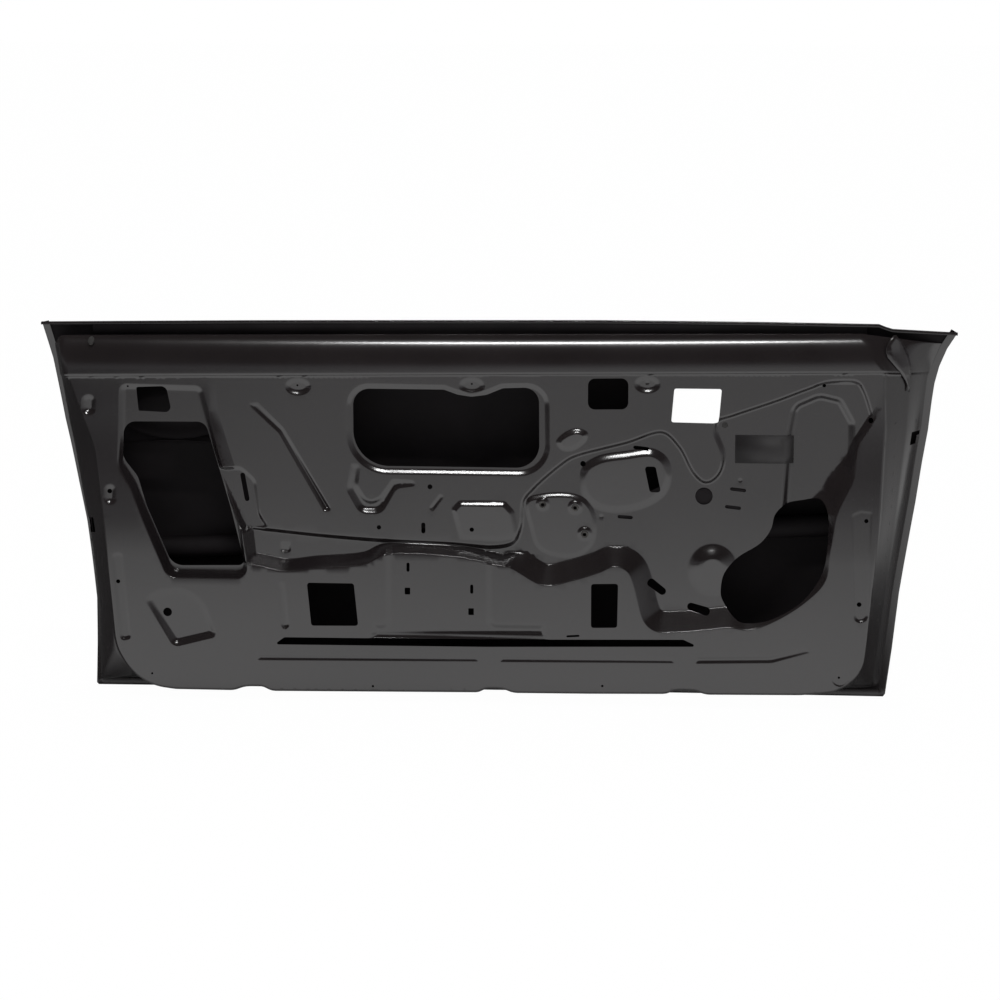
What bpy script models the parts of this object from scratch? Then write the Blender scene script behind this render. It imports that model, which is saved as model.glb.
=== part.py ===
"""Bare pressed-steel shell of a long two-door car's left door, seen from the cabin.

Lengths here are millimetres. +X points to the hinges, the cabin is at -Y and +Z is up.
Points are laid out from the panel's own datum; in_frame moves them to the middle of the base.
"""

import math

import bmesh
import bpy
import numpy as np
from mathutils import Vector
from mathutils.bvhtree import BVHTree
from mathutils.geometry import delaunay_2d_cdt

MM = 0.001
BASE_MIDDLE = np.array((-11.0, 36.8, 0.0))

# Sheet, hem and fit
PANEL_SHEET = 1.0
SKIN_SHEET = 0.8
BRACKET_SHEET = 1.5
PATCH_SHEET = 0.5
SEAT_GAP = 0.3
HEM_RADIUS = 1.6
HEM_WIDTH = 9.0
FLANGE_WIDTH = 12.0
FLANGE_EDGE = 4.5
LIP_CLEARANCE = 16.0
LIP_CLEARANCE_FROM_Z = 460.0
LIP_CLEARANCE_OVER = 85.0
FAN_CENTRE_X = (-420.0, 400.0)
FAN_CENTRE_Z = 300.0
FACET = 12.0
EDGE_STEP = 36.0
CREASE_SPACING = 40.0
TOP_STEP = 80.0
PANEL_GRID = (75, 40)
SKIN_GRID = (92, 50)

# Outer skin: its cabin-to-street bulge
SKIN_BOTTOM_Y = 70.0
SKIN_RISE = 111.0
SKIN_FALL = 129.0
SKIN_BOW = 10.0
SKIN_HEIGHT = 530.0
HALF_LENGTH = 655.0
LIP_WIDTH = 8.0
LIP_DROP = 3.0
LIP_BEND = 1.2
LIP_RISE = 0.8

REAR_EDGE = [(-676, 549), (-664, 494), (-652, 401), (-646, 366), (-636, 303), (-626, 245),
             (-619, 185), (-613, 129), (-612, 64), (-612, 3)]
BOTTOM_EDGE = [(-609, 0), (-200, 0), (200, 2), (560, 4)]
FRONT_EDGE = [(563, 8), (572, 74), (581, 156), (587, 196), (602, 292), (610, 353), (617, 400),
              (621, 444), (624, 470), (630, 496), (640, 522), (654, 546)]
TOP_EDGE = [(562, 550), (552, 553), (542, 557), (372, 558), (141, 558), (-151, 555), (-371, 553)]

# Belt roll along the top of the inner panel
BELT_TOP_Z = 540.0
BELT_TOP_SLOPE = 0.0115
CREASE_Z = 481.5
CREASE_SLOPE = 0.0154
CREASE_STEP = 4.0
BELT_DEPTH = 25.0
BELT_BOW = 6.0
BELT_FLANGE = 12.0
BELT_EDGE = 1.5
BELT_STATIONS = 22
BELT_ENDS_LOW = (-637, 552)
BELT_ENDS_TOP = (-644, 518)

# Levels of the inner panel's face (negative is towards the cabin)
FRAME_LEVEL = -20.0
FRAME_TOP_Z = 478.0
FRAME_FULL_Z = 215.0
ACCESS_LEVEL = 3.0
NICHE_LEVEL = 3.0
REGULATOR_LEVEL = 6.0
LAMP_LEVEL = 14.0
MIDDLE_LEVEL = -14.0
CENTRE_LEVEL = 4.0

# Wall runs of the fields, and where their long ramps lie
REGULATOR_RUN = 6.0
REGULATOR_LOW_RUN = 19.0
REGULATOR_LOW_Z = 250.0
RAMP_RUN = 34.0
RAMP_PLACE = (505.0, 318.0)
RAMP_REACH = 45.0
LAMP_RUN = 10.0
LAMP_RAMP_RUN = 32.0
LAMP_RAMP_PLACE = (500.0, 312.0)
LAMP_RAMP_REACH = 40.0
ACCESS_RUN = 10.0
NICHE_RUN = 5.0
MIDDLE_RUN = 8.0
CENTRE_RUN = 9.0

REAR_CREASE = [(-632, 468), (-624, 444), (-613, 414), (-602, 388), (-594, 364), (-589, 323),
               (-583, 267), (-578, 227), (-575, 187), (-571, 142), (-567, 91), (-563, 72),
               (-550, 49), (-535, 32), (-517, 21), (-501, 16), (-478, 13)]
LOWER_CREASE = [(-390, 13), (-376, 19), (-348, 20), (-336, 13), (-182, 15), (-29, 17), (-20, 23),
                (6, 23), (20, 17), (130, 18), (245, 20), (256, 26), (286, 26), (300, 20), (438, 22)]
FRONT_CREASE = [(470, 25), (489, 28), (515, 44), (529, 66), (533, 103), (537, 152), (543, 215),
                (549, 297), (552, 368), (554, 409), (553, 436), (552, 462), (552, 476)]

# Outlines of the pressings: x, z and the corner's radius
REGULATOR_FIELD = [(-378, 257, 4), (-342, 255, 30), (-300, 249, 60), (-255, 236, 60), (-162, 234, 99),
                   (-2, 234, 20), (22, 242, 20), (30, 300, 40), (46, 321, 30), (96, 364, 20),
                   (111, 371, 20), (180, 390, 90), (236, 406, 25), (262, 384, 40), (286, 331, 16),
                   (310, 331, 16), (324, 362, 30), (306, 410, 16), (335, 432, 40), (397, 454, 60),
                   (440, 471, 50), (477, 484, 30), (514, 484, 12), (541, 430, 20), (543, 414, 3),
                   (512, 386, 8), (512, 340, 40), (484, 285, 40), (479, 240, 40), (474, 186, 16),
                   (444, 161, 40), (400, 131, 40), (362, 116, 12), (335, 122, 10), (309, 117, 40),
                   (259, 112, 40), (225, 112, 16), (210, 124, 16), (186, 206, 14), (163, 206, 14),
                   (145, 198, 20), (108, 181, 40), (65, 171, 30), (14, 202, 20), (-10, 208, 12),
                   (-60, 217, 60), (-165, 219, 12), (-190, 204, 12), (-269, 198, 90), (-313, 193, 60),
                   (-345, 199, 30), (-371, 207, 4)]
WAIST_FIELD = [(-377, 259, 4), (-410, 369, 4), (-425, 424, 4), (-430, 480, 4), (552, 484, 4),
               (548, 440, 4)] + REGULATOR_FIELD[REGULATOR_FIELD.index((512, 386, 8)):]
LAMP_FIELD = [(404, 288, 6), (411, 404, 30), (418, 445, 24), (458, 463, 30), (492, 455, 16),
              (512, 420, 20), (512, 340, 40), (484, 285, 12)]
ACCESS_FIELD = [(-555, 465, 8), (-434, 463, 12), (-424, 424, 30), (-410, 369, 60), (-377, 259, 60),
                (-367, 180, 14), (-488, 182, 18), (-525, 269, 40), (-542, 313, 30), (-561, 344, 20),
                (-557, 400, 40)]
NICHE_FIELD = [(-420, 345, 4), (-378, 345, 14), (-358, 325, 14), (-350, 274, 30), (-334, 250, 8),
               (-376, 248, 4)]
MIDDLE_FIELD = [(-166, 235, 4), (-10, 235, 4), (-10, 123, 6), (71, 123, 5), (71, 98, 5), (-188, 93, 5),
                (-188, 119, 5), (-166, 119, 6)]

ACCESS_HOLE = [(-551, 408, 18), (-431, 409, 16), (-415, 353, 60), (-396, 285, 90), (-375, 197, 8),
               (-483, 195, 24), (-520, 284, 60), (-532, 327, 30), (-553, 354, 20)]
WIRING_HOLE = [(-532, 459, 3), (-488, 461, 9), (-480, 422, 8), (-529, 424, 2)]
CENTRE_HOLE = [(-214, 460, 24), (-82, 460, 14), (-62, 453, 14), (-42, 450, 20), (-20, 453, 16),
               (4, 463, 14), (56, 465, 22), (57, 347, 34), (-214, 347, 52)]
CENTRE_FIELD = [(-224, 469, 34), (-80, 468, 14), (-60, 461, 14), (-42, 458, 20), (-22, 461, 16),
                (2, 471, 14), (72, 473, 34), (74, 335, 46), (-226, 335, 62)]
MIRROR_WINDOW = [(251, 466, 3), (319, 466, 3), (315, 416, 3), (247, 417, 3)]
SPEAKER_WIRE_HOLE = [(127, 479, 10), (185, 480, 10), (185, 435, 10), (127, 434, 10)]
KIDNEY_HOLE = [(412, 298, 8), (436, 304, 20), (474, 300, 30), (468, 200, 30), (438, 160, 30),
               (390, 131, 30), (344, 128, 10), (320, 178, 12), (350, 214, 30), (385, 232, 30),
               (392, 275, 20)]
GRIP_HOLE = [(-281, 177, 4), (-212, 177, 4), (-206, 114, 4), (-275, 113, 4)]
LOWER_HOLE = [(134, 182, 4), (173, 183, 4), (172, 118, 4), (134, 117, 4)]
DRAIN_SLOT = [(-330, 84, 2), (-315, 95, 3), (-20, 97, 1), (268, 102, 3), (290, 92, 2), (-20, 86, 1)]

# Raised (negative) and sunk (positive) pressings of the face: outline, wall run, depth
PRESSINGS = [
    ([(-524, 150, 10), (-500, 165, 20), (-463, 168, 40), (-432, 150, 50), (-414, 100, 10), (-418, 92, 8),
      (-480, 76, 14)], 7, 8),
    ([(-551, 219, 8), (-570, 217, 8), (-559, 84, 7), (-541, 88, 7)], 4, 4),
    ([(-613, 449, 11), (-590, 449, 11), (-590, 417, 11), (-613, 417, 11)], 6, 5),
    ([(-580, 319, 10), (-559, 319, 10), (-560, 287, 10), (-580, 287, 10)], 6, 5),
    ([(-372, 438, 4), (-352, 440, 4), (-314, 402, 20), (-244, 280, 5), (-258, 278, 5),
      (-324, 394, 20)], 6, 6),
    ([(-324, 178, 6), (-312, 178, 6), (-306, 108, 6), (-320, 108, 6)], 4, 4),
    ([(-356, 70, 3), (-29, 74, 3), (-29, 63, 3), (-356, 59, 3)], 3, 4),
    ([(1, 74, 3), (256, 77, 3), (256, 66, 3), (1, 63, 3)], 3, 4),
    ([(285, 78, 3), (392, 81, 30), (446, 95, 5), (455, 86, 5), (396, 69, 30), (285, 66, 3)], 3, 4),
    ([(-219, 352, 4), (-201, 352, 8), (-206, 318, 12), (-192, 296, 12), (-176, 304, 12),
      (-158, 330, 8), (-124, 328, 6), (-122, 318, 6), (-150, 314, 12), (-172, 276, 20),
      (-206, 276, 20), (-226, 312, 12)], 5, 5),
    ([(-72, 286, 6), (-60, 299, 8), (8, 299, 10), (22, 284, 10), (30, 244, 10), (-2, 238, 6),
      (-60, 240, 6)], 6, -5),
    ([(84, 384, 4), (114, 404, 10), (130, 398, 8), (118, 368, 8), (96, 358, 8)], 7, -6),
    ([(116, 322, 26), (122, 362, 26), (176, 372, 60), (232, 374, 14), (250, 348, 20),
      (246, 310, 20), (214, 288, 30), (146, 280, 24)], 13, -13),
    ([(505, 290, 8), (520, 296, 6), (538, 294, 5), (534, 132, 12), (512, 130, 10)], 3, 4),
    ([(36, 300, 10), (52, 309, 10), (104, 311, 10), (136, 290, 16), (138, 236, 12), (112, 214, 6),
      (56, 226, 6), (38, 270, 10)], 4, -4),
]

# Round pressings: x, z, radii and depth
ROUND_PRESSINGS = [
    ((-294, 463), (20, 14), 9, 5),
    ((-41, 467), (20, 14), 9, 5),
    ((212, 472), (20, 14), 9, 5),
    ((308, 193), (38, 38), 22, -16),
    ((62, 294), (11, 11), 5, -5),
    ((109, 290), (12, 12), 5, -5),
    ((123, 251), (12, 12), 5, -5),
]
MOTOR_SCREWS = [(62, 294), (109, 290), (123, 251)]
MOTOR_HOLE = 6.0
GUIDE_HOLE = ((295, 309), 12.5)

OBROUND_HOLES = [((-376, 331), (-372, 296), 8), ((220, 181), (236, 168), 11),
                 ((278, 146), (300, 140), 11), ((205, 346), (213, 316), 13)]

# Hidden pieces
BEAM_RADIUS = 16.0
BEAM_WALL = 2.2
BEAM_ENDS = ((-578, 205), (556, 262))
BEAM_TO_SKIN = 3.0
BRACKET_REACH = 58.0
BRACKET_LENGTH = 70.0
BRACKET_LIP = 4.0
BRACKET_SLACK = 0.2
BRACKET_END_SLACK = 0.4
PAD_PLACES = (-380, -130, 130, 380)
PAD_RADIUS = 11.0
BELT_SHEET = 1.2
BELT_SLACK = 0.5
SKIN_SEAT = 0.7
INNER_BELT_REACH = (-600, 410)
OUTER_BELT_REACH = (-600, 525)
SHUT_SLACK = 1.1
INNER_BELT_DROPS = (5.0, 14.0)
INNER_BELT_FOOT = [(4.0, 24.0), (-0.3, 15.0), (-1.1, 5.0)]
OUTER_BELT_DROPS = (30.0, 21.0, 15.0, 1.2)
LATCH_PLATE_Z = (190, 345)
HINGE_PLATE_Z = (90, 412)
HINGE_SHEET = 2.0
UPPER_HINGE_Z = 320.0
LOWER_HINGE_Z = 145.0
NUT_PLATE = (14.0, 30.0, 7.0)
NUT_PLATE_SHARE = 0.62
NUT_PLATE_SLACK = 0.1
NUT_PLATE_BEVEL = 0.8
NUT_RADIUS = 5.5
NUT_HEIGHT = 5.0
NUT_SLACK = 0.4
MIRROR_FRAME = 20.0
MIRROR_SETBACK = 3.0
HANDLE_SCOOP_CLEARANCE = 4.0
HANDLE_HOLE_CLEARANCE = 3.0
HANDLE_FRAME = [(-628, 478, 14), (-360, 478, 14), (-360, 366, 14), (-628, 366, 14)]
REGULATOR_FRAME = [(134, 276, 14), (262, 336, 10), (395, 336, 10), (395, 262, 10), (160, 258, 10)]
CABLE_PATCH = ((339, 399), (423, 358))
PATCH_REACH = 6.0
GUSSET_REACH = 2.0
RAY_START_Y = -200.0
GUSSET_SHEET = 1.0
GUSSET_ROWS = 12
GUSSET_LEVEL_Z = 520.0
GUSSET_TOP_Y = 20.0
GUSSET_INNER = [(562, 545), (555, 535), (551, 524), (552, 516), (572, 493), (584, 474), (585, 462)]
GUSSET_OUTER = [(566, 545), (577, 531), (584, 518), (588, 503), (589, 485), (588, 470), (587, 462)]
LATCH_MOUTH = ((-645, -10, 237), (-600, 34, 262))
CHECK_MOUTH = ((560, 45, 384), (625, 66, 400))
MIRROR_APERTURE = [(205, 508, 12), (372, 508, 12), (366, 404, 12), (199, 404, 12)]
HANDLE_SCOOP = ((-487, 420), (88, 46), 30, 16)
HANDLE_HOLES = [((-604, 424), 13.0), ((-385, 424), 13.0)]


def in_frame(point):
    """A point from the panel's datum, in the frame of the part and in metres."""
    return tuple(float(c) for c in (np.array(point, float) - BASE_MIDDLE) * MM)


def corner_arc(before, corner, after, radius):
    """Points of the fillet that rounds one corner of an outline."""
    here = np.array(corner[:2], float)
    to_before = np.array(before[:2], float) - here
    to_after = np.array(after[:2], float) - here
    room = min(np.linalg.norm(to_before), np.linalg.norm(to_after)) / 2
    to_before /= np.linalg.norm(to_before)
    to_after /= np.linalg.norm(to_after)
    half_angle = math.acos(max(-1, min(1, float(to_before @ to_after)))) / 2
    reach = min(radius / math.tan(half_angle), room * 0.98)
    turn = math.pi - 2 * half_angle
    if turn < 0.12 or reach < 0.4:
        return [here]
    radius = reach * math.tan(half_angle)
    steps = max(1, round(turn * radius / FACET), math.ceil(turn / 0.9))
    centre = here + (to_before + to_after) / np.linalg.norm(to_before + to_after) * math.hypot(reach, radius)
    start = here + to_before * reach - centre
    end = here + to_after * reach - centre
    sweep = math.copysign(turn, start[0] * end[1] - start[1] * end[0])
    points = []
    for step in range(steps + 1):
        angle = sweep * step / steps
        cosine, sine = math.cos(angle), math.sin(angle)
        points.append(centre + (start[0] * cosine - start[1] * sine, start[0] * sine + start[1] * cosine))
    return points


def rounded(corners):
    """Closed outline through the corners, each rounded by its own radius."""
    points = []
    for index, corner in enumerate(corners):
        after = corners[(index + 1) % len(corners)]
        points += corner_arc(corners[index - 1], corner, after, corner[2])
    return np.array(points)


def ellipse(centre, radii, steps=12):
    turns = np.arange(steps) * 2 * math.pi / steps
    return np.column_stack([centre[0] + radii[0] * np.cos(turns), centre[1] + radii[1] * np.sin(turns)])


def obround(start, end, width, steps=4):
    """Slot outline of the given width with round ends."""
    along = math.atan2(end[1] - start[1], end[0] - start[0])
    points = []
    for centre, first in ((end, along - math.pi / 2), (start, along + math.pi / 2)):
        for step in range(steps + 1):
            angle = first + math.pi * step / steps
            points.append((centre[0] + width / 2 * math.cos(angle), centre[1] + width / 2 * math.sin(angle)))
    return np.array(points)


def area_of(outline):
    after = np.roll(outline, -1, axis=0)
    return float(np.sum(outline[:, 0] * after[:, 1] - outline[:, 1] * after[:, 0])) / 2


def inset(outline, distance):
    """The outline moved inwards, corner by corner."""
    outline = np.asarray(outline, float)
    if area_of(outline) < 0:
        outline = outline[::-1]
    ahead = np.roll(outline, -1, axis=0) - outline
    ahead /= np.linalg.norm(ahead, axis=1)[:, None]
    behind = np.roll(ahead, 1, axis=0)
    normal = np.column_stack([-(ahead + behind)[:, 1], (ahead + behind)[:, 0]])
    normal /= np.linalg.norm(normal, axis=1)[:, None]
    square = np.maximum(normal[:, 0] * -ahead[:, 1] + normal[:, 1] * ahead[:, 0], 0.5)
    return outline + normal * (distance / square)[:, None]


def is_inside(points, outline):
    """Which points lie inside the outline."""
    x, z = points[:, 0:1], points[:, 1:2]
    a, b = outline, np.roll(outline, -1, axis=0)
    spans = (a[:, 1] > z) != (b[:, 1] > z)
    rise = np.where(b[:, 1] == a[:, 1], 1e-9, b[:, 1] - a[:, 1])
    crossing = (b[:, 0] - a[:, 0]) * (z - a[:, 1]) / rise + a[:, 0]
    return (np.sum(spans & (x < crossing), axis=1) % 2).astype(bool)


def depth_inside(points, outline):
    """Distance of each point to the outline, positive inside it."""
    a, b = outline, np.roll(outline, -1, axis=0)
    edge = b - a
    offset = points[:, None, :] - a[None]
    share = np.clip(np.sum(offset * edge, axis=2) / np.maximum(np.sum(edge * edge, axis=1), 1e-9), 0, 1)
    distance = np.linalg.norm(offset - share[..., None] * edge, axis=2).min(axis=1)
    return np.where(is_inside(points, outline), distance, -distance)


def floor_line(outline, run):
    """Foot of a pressing's wall: the inset outline without the parts that cross over."""
    line = inset(outline, run)
    outline = outline if area_of(outline) > 0 else outline[::-1]
    return line[depth_inside(line, outline) > 0.93 * np.asarray(run)]


def smooth(share):
    share = np.clip(share, 0, 1)
    return share * share * (3 - 2 * share)


def crease_z(x):
    return CREASE_Z + CREASE_SLOPE * x


def frame_level(points):
    """The face before its fields are pressed: level at the belt, standing proud lower down."""
    return FRAME_LEVEL * smooth((FRAME_TOP_Z - points[:, 1]) / (FRAME_TOP_Z - FRAME_FULL_Z))


def ramp_share(points, place, reach):
    """One at a ramp's place, easing to zero further out."""
    return smooth(1.6 - np.hypot(points[:, 0] - place[0], points[:, 1] - place[1]) / reach)


def regulator_run(points):
    """The regulator field has a steep wall above, a long one below and a ramp at its lamp corner."""
    low = smooth((REGULATOR_LOW_Z - points[:, 1]) / 20)
    ramp = ramp_share(points, RAMP_PLACE, RAMP_REACH)
    return REGULATOR_RUN + (REGULATOR_LOW_RUN - REGULATOR_RUN) * low + RAMP_RUN * ramp


def lamp_run(points):
    """The lamp recess has a ramp at the corner that it shares with the regulator field."""
    return LAMP_RUN + LAMP_RAMP_RUN * ramp_share(points, LAMP_RAMP_PLACE, LAMP_RAMP_REACH)


def even_run(run):
    return lambda points: np.full(len(points), float(run))


FIELDS = [
    (rounded(WAIST_FIELD), regulator_run, 0.0),
    (rounded(ACCESS_FIELD), even_run(ACCESS_RUN), ACCESS_LEVEL),
    (rounded(NICHE_FIELD), even_run(NICHE_RUN), NICHE_LEVEL),
    (rounded(MIDDLE_FIELD), even_run(MIDDLE_RUN), MIDDLE_LEVEL),
    (rounded(REGULATOR_FIELD), regulator_run, REGULATOR_LEVEL),
    (rounded(LAMP_FIELD), lamp_run, LAMP_LEVEL),
    (rounded(CENTRE_FIELD), even_run(CENTRE_RUN), CENTRE_LEVEL),
]
BOSSES = [(rounded(outline), run, depth) for outline, run, depth in PRESSINGS]
BOSSES += [(ellipse(centre, radii), run, depth) for centre, radii, run, depth in ROUND_PRESSINGS]


def panel_level(points):
    """Y of the inner panel's cabin face over a set of (x, z) points."""
    level = frame_level(points)
    for outline, run, target in FIELDS:
        share = np.clip(depth_inside(points, outline) / run(points), 0, 1)
        level = level + (target - level) * share
    for outline, run, depth in BOSSES:
        level = level + depth * np.clip(depth_inside(points, outline) / run, 0, 1)
    return level


def skin_level(points):
    """Y of the skin's street face over a set of (x, z) points."""
    height = points[:, 1] / SKIN_HEIGHT
    bow = SKIN_BOW * (points[:, 0] / HALF_LENGTH) ** 2
    scoop_centre, scoop_radii, scoop_run, scoop_depth = HANDLE_SCOOP
    scoop = np.clip(depth_inside(points, ellipse(scoop_centre, scoop_radii, 20)) / scoop_run, 0, 1)
    return SKIN_BOTTOM_Y + SKIN_RISE * height - SKIN_FALL * height**2 - bow - scoop_depth * smooth(scoop)


def along(points, spacing):
    """The open line with points added so that no stretch is longer than the spacing."""
    line = [np.array(points[0], float)]
    for start, end in zip(points, points[1:]):
        start, end = np.array(start, float), np.array(end, float)
        pieces = max(1, math.ceil(np.linalg.norm(end - start) / spacing))
        line += [start + (end - start) * step / pieces for step in range(1, pieces + 1)]
    return line


def triangulated(boundary, holes, guides, grid):
    """(points, triangles) of the flat region inside the boundary, cut along the guides."""
    loops = [(boundary, True)] + [(hole, True) for hole in holes] + guides
    points, edges = [], []
    for loop, closed in loops:
        first = len(points)
        points += [Vector((float(p[0]), float(p[1]))) for p in loop]
        edges += [(first + i, first + i + 1) for i in range(len(loop) - 1)]
        if closed:
            edges.append((first + len(loop) - 1, first))
    points += [Vector((float(p[0]), float(p[1]))) for p in grid]
    found, _, faces, _, _, _ = delaunay_2d_cdt(points, edges, [], 0, 1e-4)
    flat = np.array([(p[0], p[1]) for p in found])
    triangles = np.array([list(face) for face in faces])
    centres = flat[triangles].mean(axis=1)
    keep = depth_inside(centres, np.asarray(boundary)) > 0.01
    for hole in holes:
        keep &= ~is_inside(centres, hole)
    return flat, triangles[keep]


def material(name, colour, roughness, metallic):
    finish = bpy.data.materials.new(name)
    finish.use_nodes = True
    shader = finish.node_tree.nodes["Principled BSDF"]
    shader.inputs["Base Color"].default_value = (*colour, 1)
    shader.inputs["Roughness"].default_value = roughness
    shader.inputs["Metallic"].default_value = metallic
    return finish


PRIMER = material("cathodic_primer", (0.070, 0.063, 0.070), 0.38, 0.0)
MASTIC = material("mastic", (0.09, 0.085, 0.08), 0.8, 0.0)
TAPE = material("cloth_tape", (0.075, 0.065, 0.065), 0.75, 0.0)
ZINC = material("zinc_plate", (0.42, 0.42, 0.43), 0.35, 0.9)


def add_object(name, vertices, faces, finish, thickness=0.0):
    """Makes one object from points in millimetres; a thickness turns a sheet into a plate."""
    mesh = bpy.data.meshes.new(name)
    mesh.from_pydata([in_frame(v) for v in vertices], [], [list(map(int, f)) for f in faces])
    work = bmesh.new()
    work.from_mesh(mesh)
    bmesh.ops.remove_doubles(work, verts=work.verts, dist=0.01 * MM)
    loose = [v for v in work.verts if not v.link_faces]
    bmesh.ops.delete(work, geom=loose, context="VERTS")
    work.to_mesh(mesh)
    work.free()
    mesh.materials.append(finish)
    piece = bpy.data.objects.new(name, mesh)
    bpy.context.collection.objects.link(piece)
    if thickness:
        solidify = piece.modifiers.new("sheet", "SOLIDIFY")
        solidify.thickness = thickness * MM
        solidify.offset = -1
        solidify.use_even_offset = False
    return piece


def strip_faces(rows):
    """Quads between rows of equal length of vertex numbers."""
    faces = []
    for low, high in zip(rows, rows[1:]):
        for i in range(len(low) - 1):
            faces.append((low[i], low[i + 1], high[i + 1], high[i]))
    return faces


def with_y(flat, heights):
    return np.column_stack([flat[:, 0], heights, flat[:, 1]])


def skin_outline():
    """Edge of the skin from its rear top corner down, along the bottom and up the front."""
    return along(REAR_EDGE + BOTTOM_EDGE + FRONT_EDGE, EDGE_STEP)


def skin_edge(distance):
    """The open edge line moved inwards by a distance."""
    edge = np.array(skin_outline())
    ahead = np.gradient(edge, axis=0)
    ahead /= np.linalg.norm(ahead, axis=1)[:, None]
    return edge + np.column_stack([-ahead[:, 1], ahead[:, 0]]) * distance


def towards_edge(point, distance):
    """Where a line from the door's middle through a point meets the edge line that lies inset."""
    target = np.array(point, float)
    target[1] -= LIP_CLEARANCE * float(smooth((point[1] - LIP_CLEARANCE_FROM_Z) / LIP_CLEARANCE_OVER))
    anchor = np.array((np.clip(target[0], *FAN_CENTRE_X), max(FAN_CENTRE_Z, target[1])))
    edge = skin_edge(distance)
    ray = target - anchor
    best = None
    for start, end in zip(edge, edge[1:]):
        side = end - start
        cross = ray[0] * side[1] - ray[1] * side[0]
        if abs(cross) < 1e-9:
            continue
        gap = start - anchor
        reach = (gap[0] * side[1] - gap[1] * side[0]) / cross
        share = (gap[0] * ray[1] - gap[1] * ray[0]) / cross
        if reach > 0 and -1e-6 <= share <= 1 + 1e-6 and (best is None or reach < best):
            best = reach
    if best is None:
        raise ValueError(f"no edge beyond {point}")
    return anchor + ray * best


def skin_at(point):
    return float(skin_level(np.array([point]))[0])


# Share of the way out and of the depth at each fold of the shut face
REAR_FOLDS = [(0.10, 0.03), (0.80, 0.36), (0.98, 0.52), (1.0, 1.0)]
LOWER_FOLDS = [(0.06, 0.03), (0.25, 0.30), (0.80, 0.80), (1.0, 1.0)]
FRONT_FOLDS = [(0.10, 0.06), (0.50, 0.36), (0.62, 0.44), (1.0, 1.0)]


def fold_shares(x, z):
    """Folds of the shut face, blended from the rear through the bottom to the front."""
    side = smooth((z - 20) / 60)
    towards = REAR_FOLDS if x < 0 else FRONT_FOLDS
    return [tuple(low + (high - low) * float(side) for low, high in zip(a, b)) for a, b in zip(LOWER_FOLDS, towards)]


def shut_face(crease):
    """Rows of points from a crease point out to the hemmed flange."""
    x, y, z = crease
    foot = towards_edge((x, z), FLANGE_WIDTH)
    rim = towards_edge((x, z), FLANGE_EDGE)
    stack = SKIN_SHEET + SEAT_GAP + PANEL_SHEET
    foot_y = skin_at(foot) - stack
    rows = [np.array(crease, float)]
    for out, depth in fold_shares(x, z):
        rows.append(np.array((x + (foot[0] - x) * out, y + (foot_y - y) * depth, z + (foot[1] - z) * out)))
    rows.append(np.array((rim[0], skin_at(rim) - stack, rim[1])))
    return rows


def belt_section(share):
    """Rows (y, z, x-share) of the belt roll at a share of its length, from the crease up."""
    rows = []
    low = BELT_ENDS_LOW[0] + (BELT_ENDS_LOW[1] - BELT_ENDS_LOW[0]) * share
    top = BELT_ENDS_TOP[0] + (BELT_ENDS_TOP[1] - BELT_ENDS_TOP[0]) * share
    foot = crease_z(low) + CREASE_STEP
    height = BELT_TOP_Z + BELT_TOP_SLOPE * top - foot
    bow = BELT_BOW * (top / HALF_LENGTH) ** 2
    rows.append((low, 0.0, crease_z(low)))
    for angle in range(0, 91, 15):
        turn = math.radians(angle)
        x = low + (top - low) * math.sin(turn)
        y = -CREASE_STEP + (BELT_DEPTH - bow) * (1 - math.cos(turn))
        rows.append((x, y, foot + height * math.sin(turn)))
    edge_y = rows[-1][1] + BELT_EDGE
    rows.append((top, edge_y, rows[-1][2] - BELT_EDGE))
    rows.append((top, edge_y, rows[-1][2] - BELT_FLANGE))
    return rows


def spread(spacing, boundary, margin):
    """Grid points inside the boundary and clear of it."""
    xs, zs = np.arange(-600, 600, spacing[0]), np.arange(50, 540, spacing[1])
    grid = np.array([(x, z) for x in xs for z in zs], float)
    return grid[depth_inside(grid, np.asarray(boundary)) > margin]


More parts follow.
